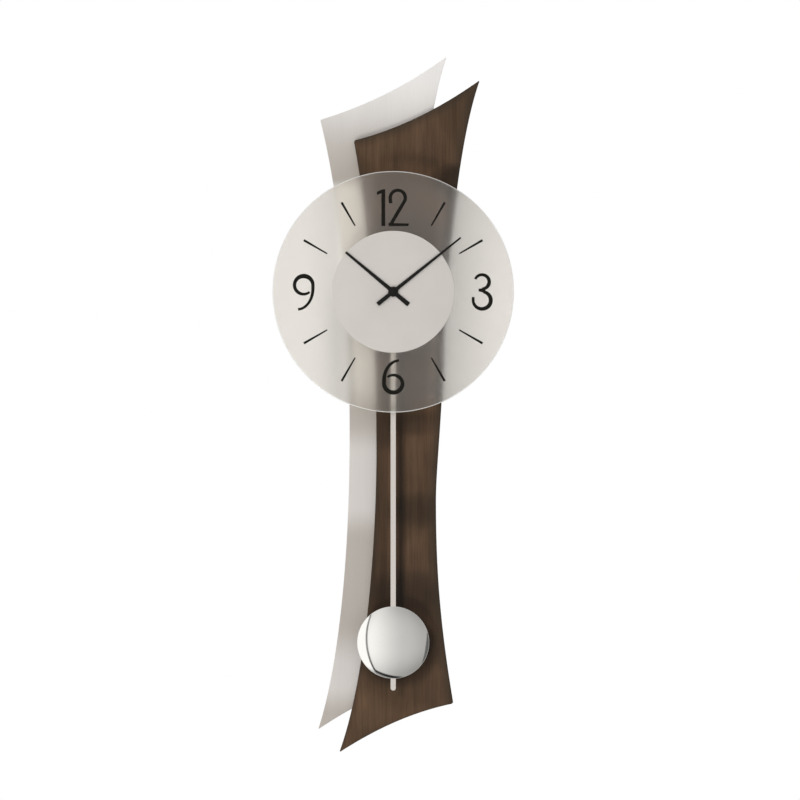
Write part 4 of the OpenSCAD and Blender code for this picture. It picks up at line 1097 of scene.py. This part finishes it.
RING_IN, RING_OUT = 4.8, 5.5
foot, crest = KNOB_BACK - SUNK, KNOB_BACK + RING_RISE
ring_profile = [(RING_IN, foot), (RING_OUT, foot), (RING_OUT, crest), (RING_IN, crest)]
knob_ring = lathe("knob_ring", ring_profile, SLOT_LOOKS[SLOT["setting_knob"]], KNOB, 64)
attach(knob_ring, BODY["setting_knob"])

# Light, floor and camera


def world():
    """White all round, with the shades of a light tent for polished metal to mirror.

    A place in the tent is told by how far across and up it lies for each step to the front.
    """
    studio = bpy.data.worlds.new("studio")
    bpy.context.scene.world = studio
    studio.use_nodes = True
    studio.node_tree.nodes.clear()
    tent = Nodes(studio.node_tree)
    way = tent.add("ShaderNodeTexCoord").outputs["Generated"]
    x, y, z = tent.add("ShaderNodeSeparateXYZ", i0=way).outputs
    forward = tent.math("MAXIMUM", tent.product(y, -1.0), 0.04)
    across, up = tent.math("DIVIDE", x, forward), tent.math("DIVIDE", z, forward)

    # The tent's front wall, brightest at the left
    wall = tent.product(
        tent.band(across, -0.8, 0.35, 1.0, 0.60),
        tent.band(across, 0.0, 1.4, 1.0, 0.74),
        tent.band(up, 0.1, 1.7, 1.0, 0.78),
        tent.band(up, -1.5, -0.2, 0.68, 1.0),
    )

    # Distances inside the wall's left, lower and right edges, of which the first two meet in a round corner
    left = tent.math("ADD", tent.math("ADD", across, tent.product(up, 0.1)), 0.99)
    low = tent.product(tent.math("ADD", up, tent.math("ADD", tent.product(across, 0.4), 1.70)), 0.4)
    right = tent.math("SUBTRACT", tent.band(up, -0.4, 1.0, 1.44, 1.78), across)
    corner = tent.math("SMOOTH_MIN", left, low, 0.12)
    inside = tent.band(tent.math("MINIMUM", corner, right), -0.03, 0.03)

    # What lies outside the wall, and the dark seam along its left and lower edges
    outside = tent.product(tent.band(up, -1.75, -1.1, 0.28, 1.08), tent.band(across, 0.6, 1.4, 1.0, 0.12))
    seam = tent.strip((corner, -0.085, -0.035), (corner, 0.03, 0.08))
    dark = tent.product(seam, tent.band(up, -1.2, -0.2, 0.97, 0.76))
    mirrored = tent.product(tent.between(inside, outside, wall), tent.math("SUBTRACT", 1.0, dark))
    mirrored = tent.between(tent.band(y, -0.44, -0.36), mirrored, 0.5)

    rays = tent.add("ShaderNodeLightPath").outputs
    diffuse = tent.band(y, -0.3, 0.5, 0.40, 0.75)
    level = tent.between(rays["Is Glossy Ray"], diffuse, mirrored)
    plain = tent.math("MAXIMUM", rays["Is Camera Ray"], rays["Is Transmission Ray"])
    level = tent.between(plain, level, 1.0)
    background = tent.add("ShaderNodeBackground", Color=tent.grey(level), Strength=1.0)
    output = tent.add("ShaderNodeOutputWorld")
    tent.tree.links.new(background.outputs[0], output.inputs["Surface"])


world()

MIDDLE = (0.0068, -0.016, -0.193)  # point of the object at the middle of the photograph
LAMP_SIZE = 2.6


def area_lamp(name, place, watts):
    """Round lamp that shines at the middle, and that no mirror or glass shows."""
    data = bpy.data.lights.new(name, "AREA")
    data.shape = "DISK"
    data.size = LAMP_SIZE
    data.energy = watts
    lamp = bpy.data.objects.new(name, data)
    lamp.location = place
    lamp.rotation_euler = (Vector(MIDDLE) - Vector(place)).to_track_quat("-Z", "Y").to_euler()
    lamp.visible_glossy = False
    lamp.visible_transmission = False
    bpy.context.scene.collection.objects.link(lamp)


area_lamp("high_lamp", (-3.4, -11.5, 2.6), 320.0)
area_lamp("low_lamp", (-3.2, -11.5, -5.0), 560.0)

FLOOR_HALF, FLOOR_Z = 7.5, -0.75
PALED = 0.7  # share of plain white in the floor that the camera sees


def studio_floor():
    """Pale floor below the clock, which keeps a soft shadow."""
    look = Look("studio_floor")
    look.set(Base_Color=varied(look, srgb(238, 238, 236), 0.01, look.noise(6.0)), Roughness=0.7)
    seen = look.add("ShaderNodeLightPath").outputs["Is Camera Ray"]
    white = look.add("ShaderNodeEmission", Color=(1.0, 1.0, 1.0, 1.0), Strength=1.0).outputs[0]
    share = look.product(seen, PALED)
    paled = look.add("ShaderNodeMixShader", i0=share, i1=look.shader.outputs[0], i2=white).outputs[0]
    look.tree.links.new(paled, look.output.inputs["Surface"])
    mesh = bpy.data.meshes.new("studio_floor")
    corners = [(x * FLOOR_HALF, y * FLOOR_HALF, FLOOR_Z) for x, y in ((-1, -1), (1, -1), (1, 1), (-1, 1))]
    mesh.from_pydata(corners, [], [(0, 1, 2, 3)])
    floor = new_object("studio_floor", mesh, look.material)
    floor.visible_glossy = False
    floor.visible_shadow = False


studio_floor()

CAMERA_AWAY, CAMERA_LENS = 20.0, 900.0

camera_data = bpy.data.cameras.new("camera")
camera_data.sensor_width = 36.0
camera_data.lens = CAMERA_LENS
camera_data.clip_start, camera_data.clip_end = 1.0, 60.0
camera = bpy.data.objects.new("camera", camera_data)
camera.location = (MIDDLE[0], MIDDLE[1] - CAMERA_AWAY, MIDDLE[2])
camera.rotation_euler = (math.radians(90), 0, 0)
bpy.context.scene.collection.objects.link(camera)
bpy.context.scene.camera = camera
bpy.context.scene.view_settings.view_transform = "Standard"
